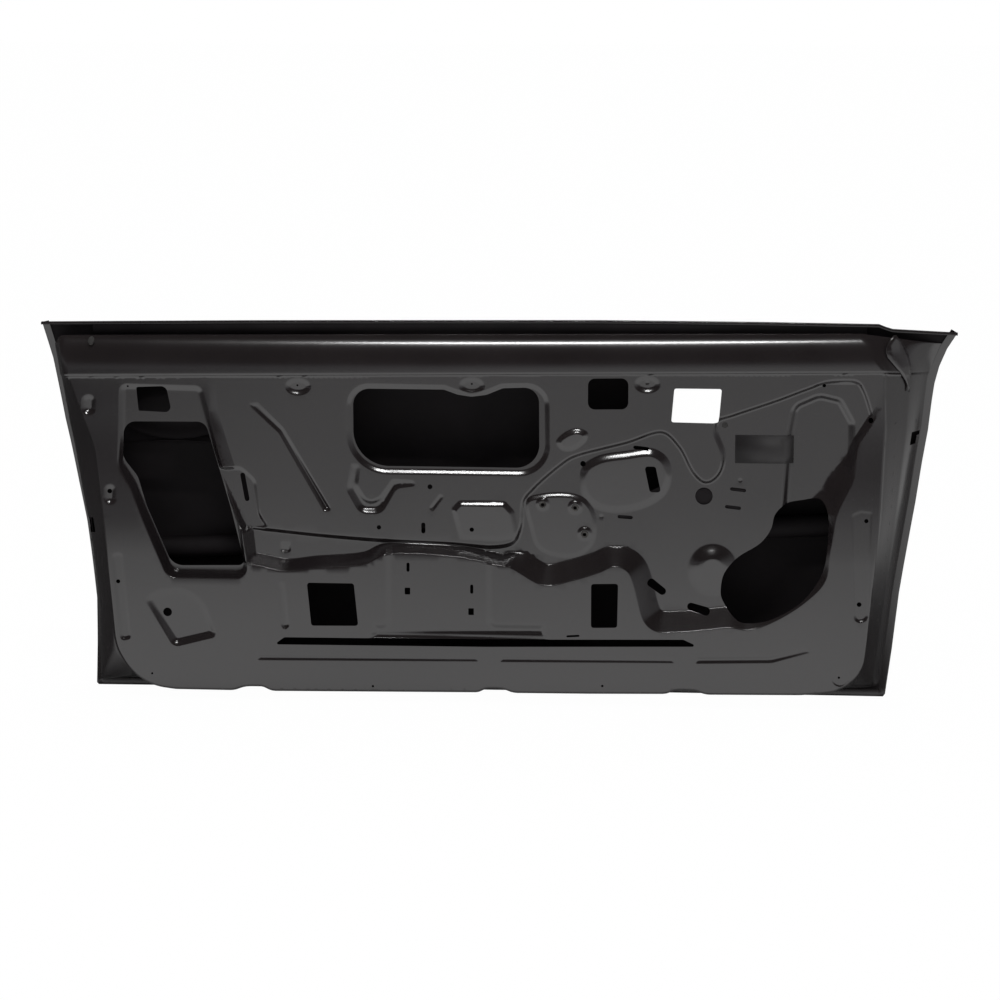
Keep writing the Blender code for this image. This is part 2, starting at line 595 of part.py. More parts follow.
def build_inner_panel():
    belt_shares = [i / BELT_STATIONS for i in range(BELT_STATIONS + 1)]
    crease_line = [(BELT_ENDS_LOW[0] + (BELT_ENDS_LOW[1] - BELT_ENDS_LOW[0]) * s) for s in belt_shares]
    top = [(x, crease_z(x)) for x in crease_line]
    sides = shut_line()
    boundary = np.array(sides[:-1] + [np.array(p) for p in top[::-1][:-1]])

    holes = [rounded(o) for o in (ACCESS_HOLE, WIRING_HOLE, CENTRE_HOLE, MIRROR_WINDOW, SPEAKER_WIRE_HOLE,
                                  KIDNEY_HOLE, GRIP_HOLE, LOWER_HOLE, DRAIN_SLOT)]
    holes += [obround(*slot) for slot in OBROUND_HOLES]
    holes += [ellipse(centre, (MOTOR_HOLE / 2, MOTOR_HOLE / 2), 8) for centre in MOTOR_SCREWS]
    holes.append(ellipse(GUIDE_HOLE[0], (GUIDE_HOLE[1], GUIDE_HOLE[1]), 16))

    guides = []
    for outline, run, _ in FIELDS[1:] + [FIELDS[0]]:
        outline = outline if area_of(outline) > 0 else outline[::-1]
        guides += [(outline, True), (floor_line(outline, run(inset(outline, 2))), True)]
    for outline, run, _ in BOSSES:
        guides += [(outline, True), (floor_line(outline, run), True)]
    guides = [(line, closed) for line, closed in guides if len(line) > 2]
    inner = inset(boundary, 1.0)
    lines = []
    for line, closed in guides:
        kept = is_inside(line, inner)
        if kept.all():
            lines.append((line, closed))
            continue
        stretch = []
        for point, inside in zip(list(line) + [line[0]], list(kept) + [kept[0]]):
            if inside:
                stretch.append(point)
            if not inside and len(stretch) > 1:
                lines.append((np.array(stretch), False))
            if not inside:
                stretch = []
        if len(stretch) > 1:
            lines.append((np.array(stretch), False))
    grid = spread(PANEL_GRID, boundary, 12)

    flat, triangles = triangulated(boundary, holes, lines, grid)
    vertices = list(with_y(flat, panel_level(flat)))
    corner = vertices[triangles[0][0]], vertices[triangles[0][1]], vertices[triangles[0][2]]
    facing = np.cross(corner[1] - corner[0], corner[2] - corner[0])[1]
    faces = [tuple(t) if facing < 0 else tuple(t[::-1]) for t in triangles]

    def number_of(point):
        vertices.append(np.array(point, float))
        return len(vertices) - 1

    def face_point(p):
        return (p[0], float(panel_level(np.array([p], float))[0]), p[1])

    belt = [belt_section(share) for share in belt_shares]
    for section in belt:
        section[0] = face_point((section[0][0], section[0][2]))
    columns = [[number_of(point) for point in section] for section in belt]
    faces += strip_faces([list(row) for row in zip(*columns)])

    ends = len(belt[0]) - 2
    chain = [belt[0][i] for i in range(ends - 1, 0, -1)]
    chain += [face_point(p) for p in sides]
    chain += [belt[-1][i] for i in range(1, ends)]
    wings = [[number_of(point) for point in shut_face(crease)] for crease in chain]
    faces += [tuple(reversed(f)) for f in strip_faces([list(row) for row in zip(*wings)])]
    return add_object("inner_panel", vertices, faces, PRIMER, PANEL_SHEET)


def build_outer_skin():
    edge = np.array(skin_outline())
    top = along([tuple(edge[-1])] + TOP_EDGE + [tuple(edge[0])], TOP_STEP)[1:-1]
    rim = skin_edge(HEM_RADIUS)
    rim[0], rim[-1] = edge[0], edge[-1]
    boundary = np.array(list(rim) + top)
    scoop = ellipse(*HANDLE_SCOOP[:2], 20)
    floor = ellipse(HANDLE_SCOOP[0], [r - HANDLE_SCOOP[2] for r in HANDLE_SCOOP[1]], 12)
    middle = ellipse(HANDLE_SCOOP[0], [r - HANDLE_SCOOP[2] / 2 for r in HANDLE_SCOOP[1]], 16)
    holes = [rounded(MIRROR_APERTURE)]
    holes += [ellipse(centre, (radius, radius), 14) for centre, radius in HANDLE_HOLES]
    grid = spread(SKIN_GRID, boundary, 20)
    flat, triangles = triangulated(boundary, holes, [(scoop, True), (floor, True), (middle, True)], grid)
    vertices = list(with_y(flat, skin_level(flat)))
    corner = vertices[triangles[0][0]], vertices[triangles[0][1]], vertices[triangles[0][2]]
    facing = np.cross(corner[1] - corner[0], corner[2] - corner[0])[1]
    faces = [tuple(t) if facing > 0 else tuple(t[::-1]) for t in triangles]

    def number_of(point):
        vertices.append(np.array(point, float))
        return len(vertices) - 1

    rows = []
    for distance, drop in ((HEM_RADIUS, 0), (0, HEM_RADIUS), (HEM_RADIUS, 2 * HEM_RADIUS),
                           (HEM_RADIUS + HEM_WIDTH, 2 * HEM_RADIUS)):
        line = skin_edge(distance)
        if distance == HEM_RADIUS and drop == 0:
            line = rim
        rows.append([number_of((p[0], skin_at(p) - drop, p[1])) for p in line])
    faces += strip_faces(rows)

    lip = [tuple(edge[-1])] + [tuple(p) for p in top] + [tuple(edge[0])]
    far = LIP_WIDTH + LIP_RISE
    steps = ((0, 0), (LIP_BEND, LIP_RISE), (LIP_WIDTH, LIP_RISE), (far, 0), (far, -LIP_DROP))
    rows = [[number_of((p[0], skin_at(p) - inward, p[1] + rise)) for p in lip] for inward, rise in steps]
    faces += strip_faces(rows)
    return add_object("outer_skin", vertices, faces, PRIMER, SKIN_SHEET)


def shut_line():
    """Crease points (x, z) of the shut face, from the rear belt end round to the front one."""
    low_rear, low_front = BELT_ENDS_LOW
    ends = [(low_rear, crease_z(low_rear))], [(low_front, crease_z(low_front))]
    return along(ends[0] + REAR_CREASE + LOWER_CREASE + FRONT_CREASE + ends[1], CREASE_SPACING)


def shut_patch(name, rear, heights, thickness):
    """A plate behind the shut face, from its first fold to its third; its points and normals."""
    stations = [p for p in shut_line() if (p[0] < 0) == rear and heights[0] <= p[1] <= heights[1]]
    grid = []
    for p in stations:
        level = float(panel_level(np.array([p]))[0])
        grid.append(shut_face((p[0], level, p[1]))[1:4])
    grid = np.array(grid)
    down, out = np.gradient(grid, axis=0), np.gradient(grid, axis=1)
    normal = np.cross(down, out)
    normal /= np.linalg.norm(normal, axis=2)[..., None]
    inwards = np.array((1.0 if rear else -1.0, 1.0, 0.0))
    normal *= np.sign(normal @ inwards)[..., None]
    grid = grid + normal * (PANEL_SHEET + SEAT_GAP + thickness / 2 + SHUT_SLACK)
    rows = np.arange(grid.shape[0] * grid.shape[1]).reshape(grid.shape[:2])
    plate = add_object(name, grid.reshape(-1, 3), strip_faces(rows.tolist()), PRIMER, thickness)
    plate.modifiers["sheet"].offset = 0
    return grid, normal


def swept_sheet(name, stations, section_of, thickness):
    """A rolled section carried along X; each section is a list of (y, z)."""
    vertices, rows = [], []
    for x in stations:
        section = section_of(x)
        rows.append([len(vertices) + i for i in range(len(section))])
        vertices += [(x, y, z) for y, z in section]
    sheet = add_object(name, vertices, strip_faces(rows), PRIMER, thickness)
    sheet.modifiers["sheet"].offset = 0
    return sheet


def level_patch(name, outline, holes, level_of, guides, grid, thickness, finish):
    """A sheet that follows a surface y = level_of(points) inside an outline."""
    flat, triangles = triangulated(outline, holes, guides, grid)
    sheet = add_object(name, with_y(flat, level_of(flat)), triangles, finish, thickness)
    sheet.modifiers["sheet"].offset = 0
    return sheet


def prism(name, base, along_axis, outline_size, sides, bore, finish):
    """A straight prism with an optional bore, standing on base along a vector."""
    base, axis = np.array(base, float), np.array(along_axis, float)
    height = np.linalg.norm(axis)
    axis /= height
    across = np.cross(axis, (0.0, 0.0, 1.0))
    if np.linalg.norm(across) < 0.1:
        across = np.cross(axis, (1.0, 0.0, 0.0))
    across /= np.linalg.norm(across)
    upright = np.cross(across, axis)
    rings = []
    for radius in (outline_size, bore) if bore else (outline_size,):
        ring = []
        for turn in np.arange(sides) * 2 * math.pi / sides:
            ring.append(base + (across * math.cos(turn) + upright * math.sin(turn)) * radius)
        rings.append(ring)
    vertices, count = [], sides
    for ring in rings:
        vertices += ring + [p + axis * height for p in ring]
    faces = []
    for i in range(count):
        j = (i + 1) % count
        faces.append((i, j, count + j, count + i))
        if bore:
            faces.append((2 * count + j, 2 * count + i, 3 * count + i, 3 * count + j))
            faces.append((j, i, 2 * count + i, 2 * count + j))
            faces.append((count + i, count + j, 3 * count + j, 3 * count + i))
    if not bore:
        faces.append(tuple(range(count))[::-1])
        faces.append(tuple(range(count, 2 * count)))
    piece = add_object(name, vertices, faces, finish)
    work = bmesh.new()
    work.from_mesh(piece.data)
    bmesh.ops.recalc_face_normals(work, faces=work.faces)
    work.to_mesh(piece.data)
    work.free()
    return piece


def top_z(x):
    """Height of the skin's top edge."""
    line = sorted([REAR_EDGE[0]] + TOP_EDGE + [FRONT_EDGE[-1]])
    return float(np.interp(x, [p[0] for p in line], [p[1] for p in line]))


def build_belt_reinforcements():
    def inner_section(x):
        share = (x - BELT_ENDS_LOW[0]) / (BELT_ENDS_LOW[1] - BELT_ENDS_LOW[0])
        rows = belt_section(share)
        behind = PANEL_SHEET + SEAT_GAP + BELT_SHEET / 2 + BELT_SLACK
        edge_y, top, foot = rows[-1][1], rows[-1][2] + BELT_FLANGE, rows[0][2]
        return [(edge_y - behind, top - drop) for drop in INNER_BELT_DROPS] + [
            (y, foot + rise) for y, rise in INNER_BELT_FOOT]

    def outer_section(x):
        top = top_z(x)
        behind = SKIN_SHEET + SKIN_SEAT + BELT_SHEET / 2 + BELT_SLACK
        lip_y = skin_at((x, top)) - LIP_WIDTH + SEAT_GAP + BELT_SHEET / 2
        low, bend, shoulder, high = OUTER_BELT_DROPS
        return [(skin_at((x, top - low)) - behind, top - low), (skin_at((x, top - bend)) - behind, top - bend),
                (lip_y, top - shoulder), (lip_y, top - high)]

    swept_sheet("inner_belt_reinforcement", np.linspace(*INNER_BELT_REACH, 11), inner_section, BELT_SHEET)
    swept_sheet("outer_belt_reinforcement", np.linspace(*OUTER_BELT_REACH, 15), outer_section, BELT_SHEET)


def beam_line():
    """Ends of the beam's axis, as far out as the bowed skin lets a straight tube lie."""
    ends = []
    for x, z in BEAM_ENDS:
        ends.append(np.array((x, skin_at((x, z)) - SKIN_SHEET - BEAM_TO_SKIN - BEAM_RADIUS, z)))
    return ends


def wall_x_at(rear, z, y):
    """X of the shut face's cabin side at a height and a depth."""
    line = sorted(((p[1], p[0]) for p in shut_line() if (p[0] < 0) == rear and p[1] > 60))
    x = float(np.interp(z, [p[0] for p in line], [p[1] for p in line]))
    level = float(panel_level(np.array([(x, z)]))[0])
    rows = shut_face((x, level, z))
    return float(np.interp(y, [row[1] for row in rows[:-1]], [row[0] for row in rows[:-1]]))


def build_beam():
    start, end = beam_line()
    prism("side_impact_beam", start, end - start, BEAM_RADIUS, 18, BEAM_RADIUS - BEAM_WALL, PRIMER)
    axis = (end - start) / np.linalg.norm(end - start)
    radius = BEAM_RADIUS + SEAT_GAP + BRACKET_SHEET / 2 + BRACKET_SLACK
    for name, rear in (("beam_rear_bracket", True), ("beam_front_bracket", False)):
        near = start if rear else end
        heights = [near[2] - BRACKET_REACH, near[2], near[2] + BRACKET_REACH]
        walls = [wall_x_at(rear, z, near[1]) for z in heights]
        inside = PANEL_SHEET + SEAT_GAP + BRACKET_END_SLACK
        outer = max(walls) + inside if rear else min(walls) - inside
        far = outer + BRACKET_LENGTH if rear else outer - BRACKET_LENGTH

        def section(x):
            middle = start + axis * (x - start[0]) / axis[0]
            points = [(middle[1], middle[2] + BRACKET_REACH), (middle[1], middle[2] + radius + BRACKET_LIP)]
            for step in range(9):
                turn = math.pi / 2 + math.pi * step / 8
                points.append((middle[1] + radius * math.cos(turn), middle[2] + radius * math.sin(turn)))
            points += [(middle[1], middle[2] - radius - BRACKET_LIP), (middle[1], middle[2] - BRACKET_REACH)]
            return points

        stations = sorted([outer, (outer + far) / 2, far])
        swept_sheet(name, stations, section, BRACKET_SHEET)
    for number, x in enumerate(PAD_PLACES):
        middle = start + axis * (x - start[0]) / axis[0]
        low = middle[1] + BEAM_RADIUS + SEAT_GAP
        high = skin_at((x, middle[2])) - SKIN_SHEET - SKIN_SEAT
        prism(f"beam_mastic_pad_{number + 1}", (x, low, middle[2]), (0, high - low, 0), PAD_RADIUS, 12, 0, MASTIC)


def build_shut_plates():
    shut_patch("latch_reinforcement", True, LATCH_PLATE_Z, BRACKET_SHEET)
    grid, normal = shut_patch("hinge_reinforcement", False, HINGE_PLATE_Z, HINGE_SHEET)
    for name, height in (("upper_hinge_nut_plate", UPPER_HINGE_Z), ("lower_hinge_nut_plate", LOWER_HINGE_Z)):
        column = int(np.argmin(abs(grid[:, 2, 2] - height)))
        wall = grid[column, 2] - grid[column, 1]
        wall /= np.linalg.norm(wall)
        up = grid[column - 1, 2] - grid[column + 1, 2]
        up *= np.sign(up[2]) / np.linalg.norm(up)
        out = np.cross(wall, up)
        out *= np.sign(out @ normal[column, 2])
        out /= np.linalg.norm(out)
        up = np.cross(out, wall)
        middle = grid[column, 1] + (grid[column, 2] - grid[column, 1]) * NUT_PLATE_SHARE
        middle += out * (HINGE_SHEET / 2 + SEAT_GAP + NUT_PLATE_SLACK)
        vertices = []
        for rise in (0, NUT_PLATE[2]):
            for u, v in ((-1, -1), (1, -1), (1, 1), (-1, 1)):
                vertices.append(middle + wall * u * NUT_PLATE[0] / 2 + up * v * NUT_PLATE[1] / 2 + out * rise)
        faces = [(0, 1, 2, 3), (4, 5, 6, 7), (0, 1, 5, 4), (1, 2, 6, 5), (2, 3, 7, 6), (3, 0, 4, 7)]
        plate = add_object(name, vertices, faces, ZINC)
        work = bmesh.new()
        work.from_mesh(plate.data)
        bmesh.ops.recalc_face_normals(work, faces=work.faces)
        bmesh.ops.bevel(work, geom=list(work.edges), offset=NUT_PLATE_BEVEL * MM, segments=1, affect="EDGES")
        work.to_mesh(plate.data)
        work.free()


def build_skin_plates():
    behind = SKIN_SHEET + SKIN_SEAT + BRACKET_SHEET / 2

    def level(points):
        return skin_level(points) - behind

    window = rounded(MIRROR_APERTURE)
    level_patch("mirror_reinforcement", inset(window, -MIRROR_FRAME), [inset(window, -MIRROR_SETBACK)], level, [],
                [], BRACKET_SHEET, PRIMER)
    scoop = ellipse(HANDLE_SCOOP[0], [r + HANDLE_SCOOP_CLEARANCE for r in HANDLE_SCOOP[1]], 20)
    rings = []
    for centre, radius in HANDLE_HOLES:
        radius += HANDLE_HOLE_CLEARANCE
        rings.append(ellipse(centre, (radius, radius), 14))
    level_patch("handle_reinforcement", rounded(HANDLE_FRAME), [scoop] + rings, level, [], [],
                BRACKET_SHEET, PRIMER)


def seat_in_front(tree, x, z, reach, gap):
    """Y just in front of the panel around (x, z), or None where rays from the cabin meet no panel."""
    found = []
    for dx in (-reach, 0, reach):
        for dz in (-reach, 0, reach):
            origin = Vector(in_frame((x + dx, RAY_START_Y, z + dz)))
            hit = tree.ray_cast(origin, Vector((0, 1, 0)))[0]
            if hit is not None:
                found.append(hit.y / MM + BASE_MIDDLE[1])
    return min(found) - gap if found else None


def build_face_plates(tree):
    behind = PANEL_SHEET + SEAT_GAP + BRACKET_SHEET / 2

    def back_level(points):
        return np.full(len(points), REGULATOR_LEVEL + behind)

    level_patch("regulator_reinforcement", rounded(REGULATOR_FRAME), [], back_level, [], [],
                BRACKET_SHEET, PRIMER)
    (left, top), (right, low) = CABLE_PATCH
    vertices, rows = [], []
    for x in np.linspace(left, right, 8):
        row = []
        for z in np.linspace(low, top, 5):
            row.append(len(vertices))
            vertices.append((x, seat_in_front(tree, x, z, PATCH_REACH, SEAT_GAP + PATCH_SHEET / 2), z))
        rows.append(row)
    patch = add_object("cable_patch", vertices, strip_faces(rows), TAPE, PATCH_SHEET)
    patch.modifiers["sheet"].offset = 0
    for number, (x, z) in enumerate(MOTOR_SCREWS):
        seat = float(panel_level(np.array([(x, z)], float))[0]) + PANEL_SHEET + SEAT_GAP + NUT_SLACK
        prism(f"motor_weld_nut_{number + 1}", (x, seat, z), (0, NUT_HEIGHT, 0), NUT_RADIUS, 6, MOTOR_HOLE / 2, ZINC)


def evenly(line, count):
    """The open line as a number of evenly spread points."""
    line = np.array(line, float)
    length = np.concatenate([[0], np.cumsum(np.linalg.norm(np.diff(line, axis=0), axis=1))])
    shares = np.linspace(0, length[-1], count)
    return np.column_stack([np.interp(shares, length, line[:, k]) for k in range(2)])


def build_gusset(tree):
    """The leaf-shaped sheet that closes the corner between the belt roll and the hinge side."""
    rows, vertices = [], []
    for inner, outer in zip(evenly(GUSSET_INNER, GUSSET_ROWS), evenly(GUSSET_OUTER, GUSSET_ROWS)):
        row, level = [], GUSSET_TOP_Y
        for share in (0.0, 0.34, 0.67, 1.0):
            x, z = inner + (outer - inner) * share
            seat = seat_in_front(tree, x, min(z, GUSSET_LEVEL_Z), GUSSET_REACH, GUSSET_SHEET / 2 + SEAT_GAP)
            level = seat or level
            row.append(len(vertices))
            vertices.append((x, level, z))
        rows.append(row)
    sheet = add_object("front_corner_gusset", vertices, strip_faces(rows), PRIMER, GUSSET_SHEET)
    sheet.modifiers["sheet"].offset = 0


def cutter(name, low, high):
    """A hidden box that cuts an aperture."""
    corners = [(x, y, z) for x in (low[0], high[0]) for y in (low[1], high[1]) for z in (low[2], high[2])]
    faces = [(0, 1, 3, 2), (4, 6, 7, 5), (0, 4, 5, 1), (2, 3, 7, 6), (0, 2, 6, 4), (1, 5, 7, 3)]
    box = add_object(name, corners, faces, PRIMER)
    work = bmesh.new()
    work.from_mesh(box.data)
    bmesh.ops.recalc_face_normals(work, faces=work.faces)
    work.to_mesh(box.data)
    work.free()
    box.hide_render = True
    box.display_type = "WIRE"
    return box


def cut(piece, box):
    boolean = piece.modifiers.new("aperture", "BOOLEAN")
    boolean.operation = "DIFFERENCE"
    boolean.solver = "EXACT"
    boolean.object = box


for old in list(bpy.data.objects):
    bpy.data.objects.remove(old, do_unlink=True)

inner_panel = build_inner_panel()
build_outer_skin()
build_belt_reinforcements()
build_beam()
build_shut_plates()
build_skin_plates()
bpy.context.view_layer.update()
panel_tree = BVHTree.FromObject(inner_panel, bpy.context.evaluated_depsgraph_get())
build_face_plates(panel_tree)
build_gusset(panel_tree)
latch_mouth = cutter("latch_mouth", *LATCH_MOUTH)
check_mouth = cutter("check_mouth", *CHECK_MOUTH)
cut(inner_panel, latch_mouth)
cut(inner_panel, check_mouth)
cut(bpy.data.objects["latch_reinforcement"], latch_mouth)
cut(bpy.data.objects["hinge_reinforcement"], check_mouth)
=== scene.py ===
import math

import bmesh
import bpy
import numpy as np
from mathutils import Matrix, Vector
from mathutils.bvhtree import BVHTree
from mathutils.geometry import delaunay_2d_cdt
from mathutils.kdtree import KDTree


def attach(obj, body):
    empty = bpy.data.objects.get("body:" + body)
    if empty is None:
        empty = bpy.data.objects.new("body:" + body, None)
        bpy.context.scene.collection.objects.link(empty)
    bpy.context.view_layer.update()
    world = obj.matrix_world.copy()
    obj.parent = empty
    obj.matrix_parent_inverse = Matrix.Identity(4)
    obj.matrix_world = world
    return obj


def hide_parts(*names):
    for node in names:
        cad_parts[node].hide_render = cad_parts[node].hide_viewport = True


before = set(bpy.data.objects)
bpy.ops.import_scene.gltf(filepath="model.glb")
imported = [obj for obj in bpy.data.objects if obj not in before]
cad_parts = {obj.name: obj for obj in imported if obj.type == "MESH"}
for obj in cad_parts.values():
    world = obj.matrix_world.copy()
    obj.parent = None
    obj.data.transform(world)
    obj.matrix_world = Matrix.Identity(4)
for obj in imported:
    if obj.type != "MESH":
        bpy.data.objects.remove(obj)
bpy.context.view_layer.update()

# Studio. The door stands upright on a white floor before a plain white background, seen from the
# cabin side and a little from above, with a long soft box high over the belt. Glossy rays alone
# see a made-up room of bright and dark zones, which the black primer mirrors.
scene = bpy.context.scene
scene.view_settings.view_transform = "Standard"
DATUM = Vector((-11.0, 36.8, 0.0))


def metres(x, y, z):
    """A point measured from the panel's datum in millimetres, in the frame of the door."""
    return Vector((x - DATUM.x, y - DATUM.y, z - DATUM.z)) / 1000


VIEW_TURN, VIEW_RISE, VIEW_REACH = math.radians(4.8), math.radians(10.0), 4600.0
SENSOR_WIDTH, FOCAL_LENGTH = 36.0, 114.2
aim = Vector((0, 0, 300))
back = Vector((math.sin(VIEW_TURN) * math.cos(VIEW_RISE), -math.cos(VIEW_TURN) * math.cos(VIEW_RISE),
               math.sin(VIEW_RISE)))
camera = bpy.data.objects.new("photo_camera", bpy.data.cameras.new("photo_camera"))
camera.location = metres(*(aim + back * VIEW_REACH))
camera.rotation_euler = (-back).to_track_quat("-Z", "Y").to_euler()
camera.data.sensor_width = SENSOR_WIDTH
camera.data.lens = FOCAL_LENGTH
scene.collection.objects.link(camera)
scene.camera = camera


def soft_box(name, place, towards, width, height, watts):
    """A rectangular lamp turned towards a place, in metres."""
    lamp = bpy.data.lights.new(name, "AREA")
    lamp.shape, lamp.size, lamp.size_y, lamp.energy = "RECTANGLE", width, height, watts
    box = bpy.data.objects.new(name, lamp)
    box.location = place
    box.rotation_euler = (Vector(towards) - Vector(place)).to_track_quat("-Z", "Y").to_euler()
    scene.collection.objects.link(box)


soft_box("belt_strip", (-0.05, -1.60, 2.66), (-0.05, 0, 0.52), 0.95, 0.05, 23)


class Wire:
    """A shader value. Arithmetic on it adds Math nodes, and make() adds any other node."""

    def __init__(self, tree, socket):
        self.tree, self.socket = tree, socket

    @staticmethod
    def make(tree, kind, settings=None, sockets=None, out=0):
        node = tree.nodes.new(kind)
        for name, value in (settings or {}).items():
            setattr(node, name, value)
        for key, value in (sockets or {}).items():
            if isinstance(value, Wire):
                tree.links.new(value.socket, node.inputs[key])
            else:
                node.inputs[key].default_value = value
        return Wire(tree, node.outputs[out])

    def maths(self, operation, *others, swap=False):
        values = [*others, self] if swap else [self, *others]
        return Wire.make(self.tree, "ShaderNodeMath", {"operation": operation}, dict(enumerate(values)))

    def __add__(self, other):
        return self.maths("ADD", other)

    def __radd__(self, other):
        return self.maths("ADD", other, swap=True)

    def __sub__(self, other):
        return self.maths("SUBTRACT", other)

    def __rsub__(self, other):
        return self.maths("SUBTRACT", other, swap=True)

    def __mul__(self, other):
        return self.maths("MULTIPLY", other)

    def __rmul__(self, other):
        return self.maths("MULTIPLY", other, swap=True)

    def __truediv__(self, other):
        return self.maths("DIVIDE", other)

    def larger(self, other):
        return self.maths("MAXIMUM", other)

    def between(self, low, high):
        """Zero below low, one above high, eased between them."""
        return Wire.make(self.tree, "ShaderNodeMapRange", {"interpolation_type": "SMOOTHSTEP"},
                         {0: self, 1: low, 2: high})

    def blend(self, first, second):
        """A colour between two colours, by this value."""
        return Wire.make(self.tree, "ShaderNodeMix", {"data_type": "RGBA"}, {0: self, 6: first, 7: second}, 2)

    def bump(self, strength, distance):
        """A normal tilted by this height."""
        return Wire.make(self.tree, "ShaderNodeBump",
                         sockets={"Strength": strength, "Distance": distance, "Height": self})

    def into(self, shader, name):
        """Feeds one input of a shader."""
        self.tree.links.new(self.socket, shader.inputs[name])


world = bpy.data.worlds.new("studio")
world.use_nodes = True
scene.world = world
sky = world.node_tree
rays = {name: Wire.make(sky, "ShaderNodeLightPath", out=name)
        for name in ("Is Camera Ray", "Is Glossy Ray", "Is Transmission Ray")}
heading = Wire.make(sky, "ShaderNodeTexCoord", out="Generated")
rise = Wire.make(sky, "ShaderNodeSeparateXYZ", sockets={0: heading}, out=2)
forward = 0.0 - Wire.make(sky, "ShaderNodeSeparateXYZ", sockets={0: heading}, out=1)
side_room = Wire.make(sky, "ShaderNodeSeparateXYZ", sockets={0: heading}).between(0.30, 0.75) * 0.5
back_room = (0.0 - forward).between(0.80, 0.97) * (1.0 - rise.between(0.2, 0.7))
low_room = (1.0 - rise.between(-0.02, 0.10)) * forward.between(0.0, 0.5)
reflected = low_room.blend((0.032, 0.024, 0.021, 1), (0.50, 0.50, 0.52, 1))
reflected = (side_room * (1.0 - rise.between(0.1, 0.5))).blend(reflected, (0.60, 0.60, 0.62, 1))
reflected = back_room.blend(reflected, (0.45, 0.45, 0.47, 1))
lit = rays["Is Glossy Ray"].blend((0.90, 0.90, 0.93, 1), reflected)
plain = rays["Is Camera Ray"].larger(rays["Is Transmission Ray"]).blend(lit, (1, 1, 1, 1))
sky.links.new(plain.socket, sky.nodes["Background"].inputs["Color"])

floor_mesh = bpy.data.meshes.new("floor")
FLOOR_REACH, FLOOR_DROP, FLOOR_GLOW = 30, 0.0005, 0.985
floor_mesh.from_pydata([(x * FLOOR_REACH, y * FLOOR_REACH, -FLOOR_DROP)
                        for x, y in ((-1, -1), (1, -1), (1, 1), (-1, 1))], [], [(0, 1, 2, 3)])
floor = bpy.data.objects.new("floor", floor_mesh)
scene.collection.objects.link(floor)
pale = bpy.data.materials.new("pale_floor")
pale.use_nodes = True
tree = pale.node_tree
matt = tree.nodes["Principled BSDF"]
matt.inputs["Base Color"].default_value = (0.86, 0.86, 0.86, 1)
matt.inputs["Roughness"].default_value = 0.9
rays = [Wire.make(tree, "ShaderNodeLightPath", out=name)
        for name in ("Is Camera Ray", "Is Glossy Ray", "Is Transmission Ray")]
spot = Wire.make(tree, "ShaderNodeTexCoord", out="Object")
right = Wire.make(tree, "ShaderNodeSeparateXYZ", sockets={0: spot})
beside = right.maths("ABSOLUTE")
ahead = 0.0 - Wire.make(tree, "ShaderNodeSeparateXYZ", sockets={0: spot}, out=1)
# Glossy rays see the floor glow as painted reflections: bright just ahead of the door, behind it and towards
# +X, dark elsewhere. The primer mirrors these zones.
swept = (1.0 - beside.between(1.05, 1.6)) * ahead.between(0.0, 0.16)
behind = (0.0 - ahead).between(0.5, 1.3) * (1.0 - beside.between(0.85, 1.2))
mirrored = (0.05 + behind * 0.45 + right.between(0.85, 1.5) * 0.45
            + swept * (0.95 - ahead.between(0.5, 1.9) * 0.40))
share = (rays[0].larger(rays[2]) * FLOOR_GLOW).larger(rays[1])
shown = rays[1].blend((1, 1, 1, 1), mirrored.blend((0, 0, 0, 1), (1, 1, 1, 1)))
glow = Wire.make(tree, "ShaderNodeEmission", sockets={0: shown, 1: 1.0})
both = Wire.make(tree, "ShaderNodeMixShader", sockets={0: share, 1: Wire(tree, matt.outputs[0]), 2: glow})
tree.links.new(both.socket, tree.nodes["Material Output"].inputs["Surface"])
floor_mesh.materials.append(pale)

# Inner panel. One deep-drawn stamping of 1 mm steel, dipped in satin black primer: the belt roll,
# the face with its fields, beads, bosses and holes, and the shut faces that run out to the hem.
PANEL_SHEET, SKIN_SHEET, HEM_SEALER = 1.0, 0.8, 0.3
MERGE_DISTANCE = 0.00002
BELT_ENDS_LOW, BELT_ENDS_TOP = (-637, 552), (-644, 518)


def crease_z(x):
    """Height of the crease under the belt roll."""
    return 481.5 + 0.0154 * x


def fillet(before, corner, after, radius, spacing):
    """Points of the arc that rounds one corner of an outline."""
    here = np.array(corner[:2], float)
    a, b = np.array(before[:2], float) - here, np.array(after[:2], float) - here
    room = min(np.linalg.norm(a), np.linalg.norm(b)) / 2
    a, b = a / np.linalg.norm(a), b / np.linalg.norm(b)
    half = math.acos(max(-1.0, min(1.0, float(a @ b)))) / 2
    turn = math.pi - 2 * half
    reach = min(radius / math.tan(half), room * 0.98)
    if turn < 0.04 or reach < 0.2:
        return [here]
    radius = reach * math.tan(half)
    centre = here + (a + b) / np.linalg.norm(a + b) * math.hypot(reach, radius)
    start, end = here + a * reach - centre, here + b * reach - centre
    sweep = math.copysign(turn, start[0] * end[1] - start[1] * end[0])
    steps = max(1, math.ceil(turn * radius / spacing), math.ceil(turn / 0.35))
    turned = np.linspace(0, sweep, steps + 1)
    return [centre + (start[0] * math.cos(t) - start[1] * math.sin(t),
                      start[0] * math.sin(t) + start[1] * math.cos(t)) for t in turned]


def even(line, spacing, closed=False):
    """The line with its stretches cut to the spacing."""
    points = [np.array(line[0], float)]
    for a, b in zip(line, list(line[1:]) + ([line[0]] if closed else [])):
        a, b = np.array(a, float), np.array(b, float)
        count = max(1, math.ceil(np.linalg.norm(b - a) / spacing))
        points += [a + (b - a) * k / count for k in range(1, count + 1)]
    return points[:-1] if closed else points


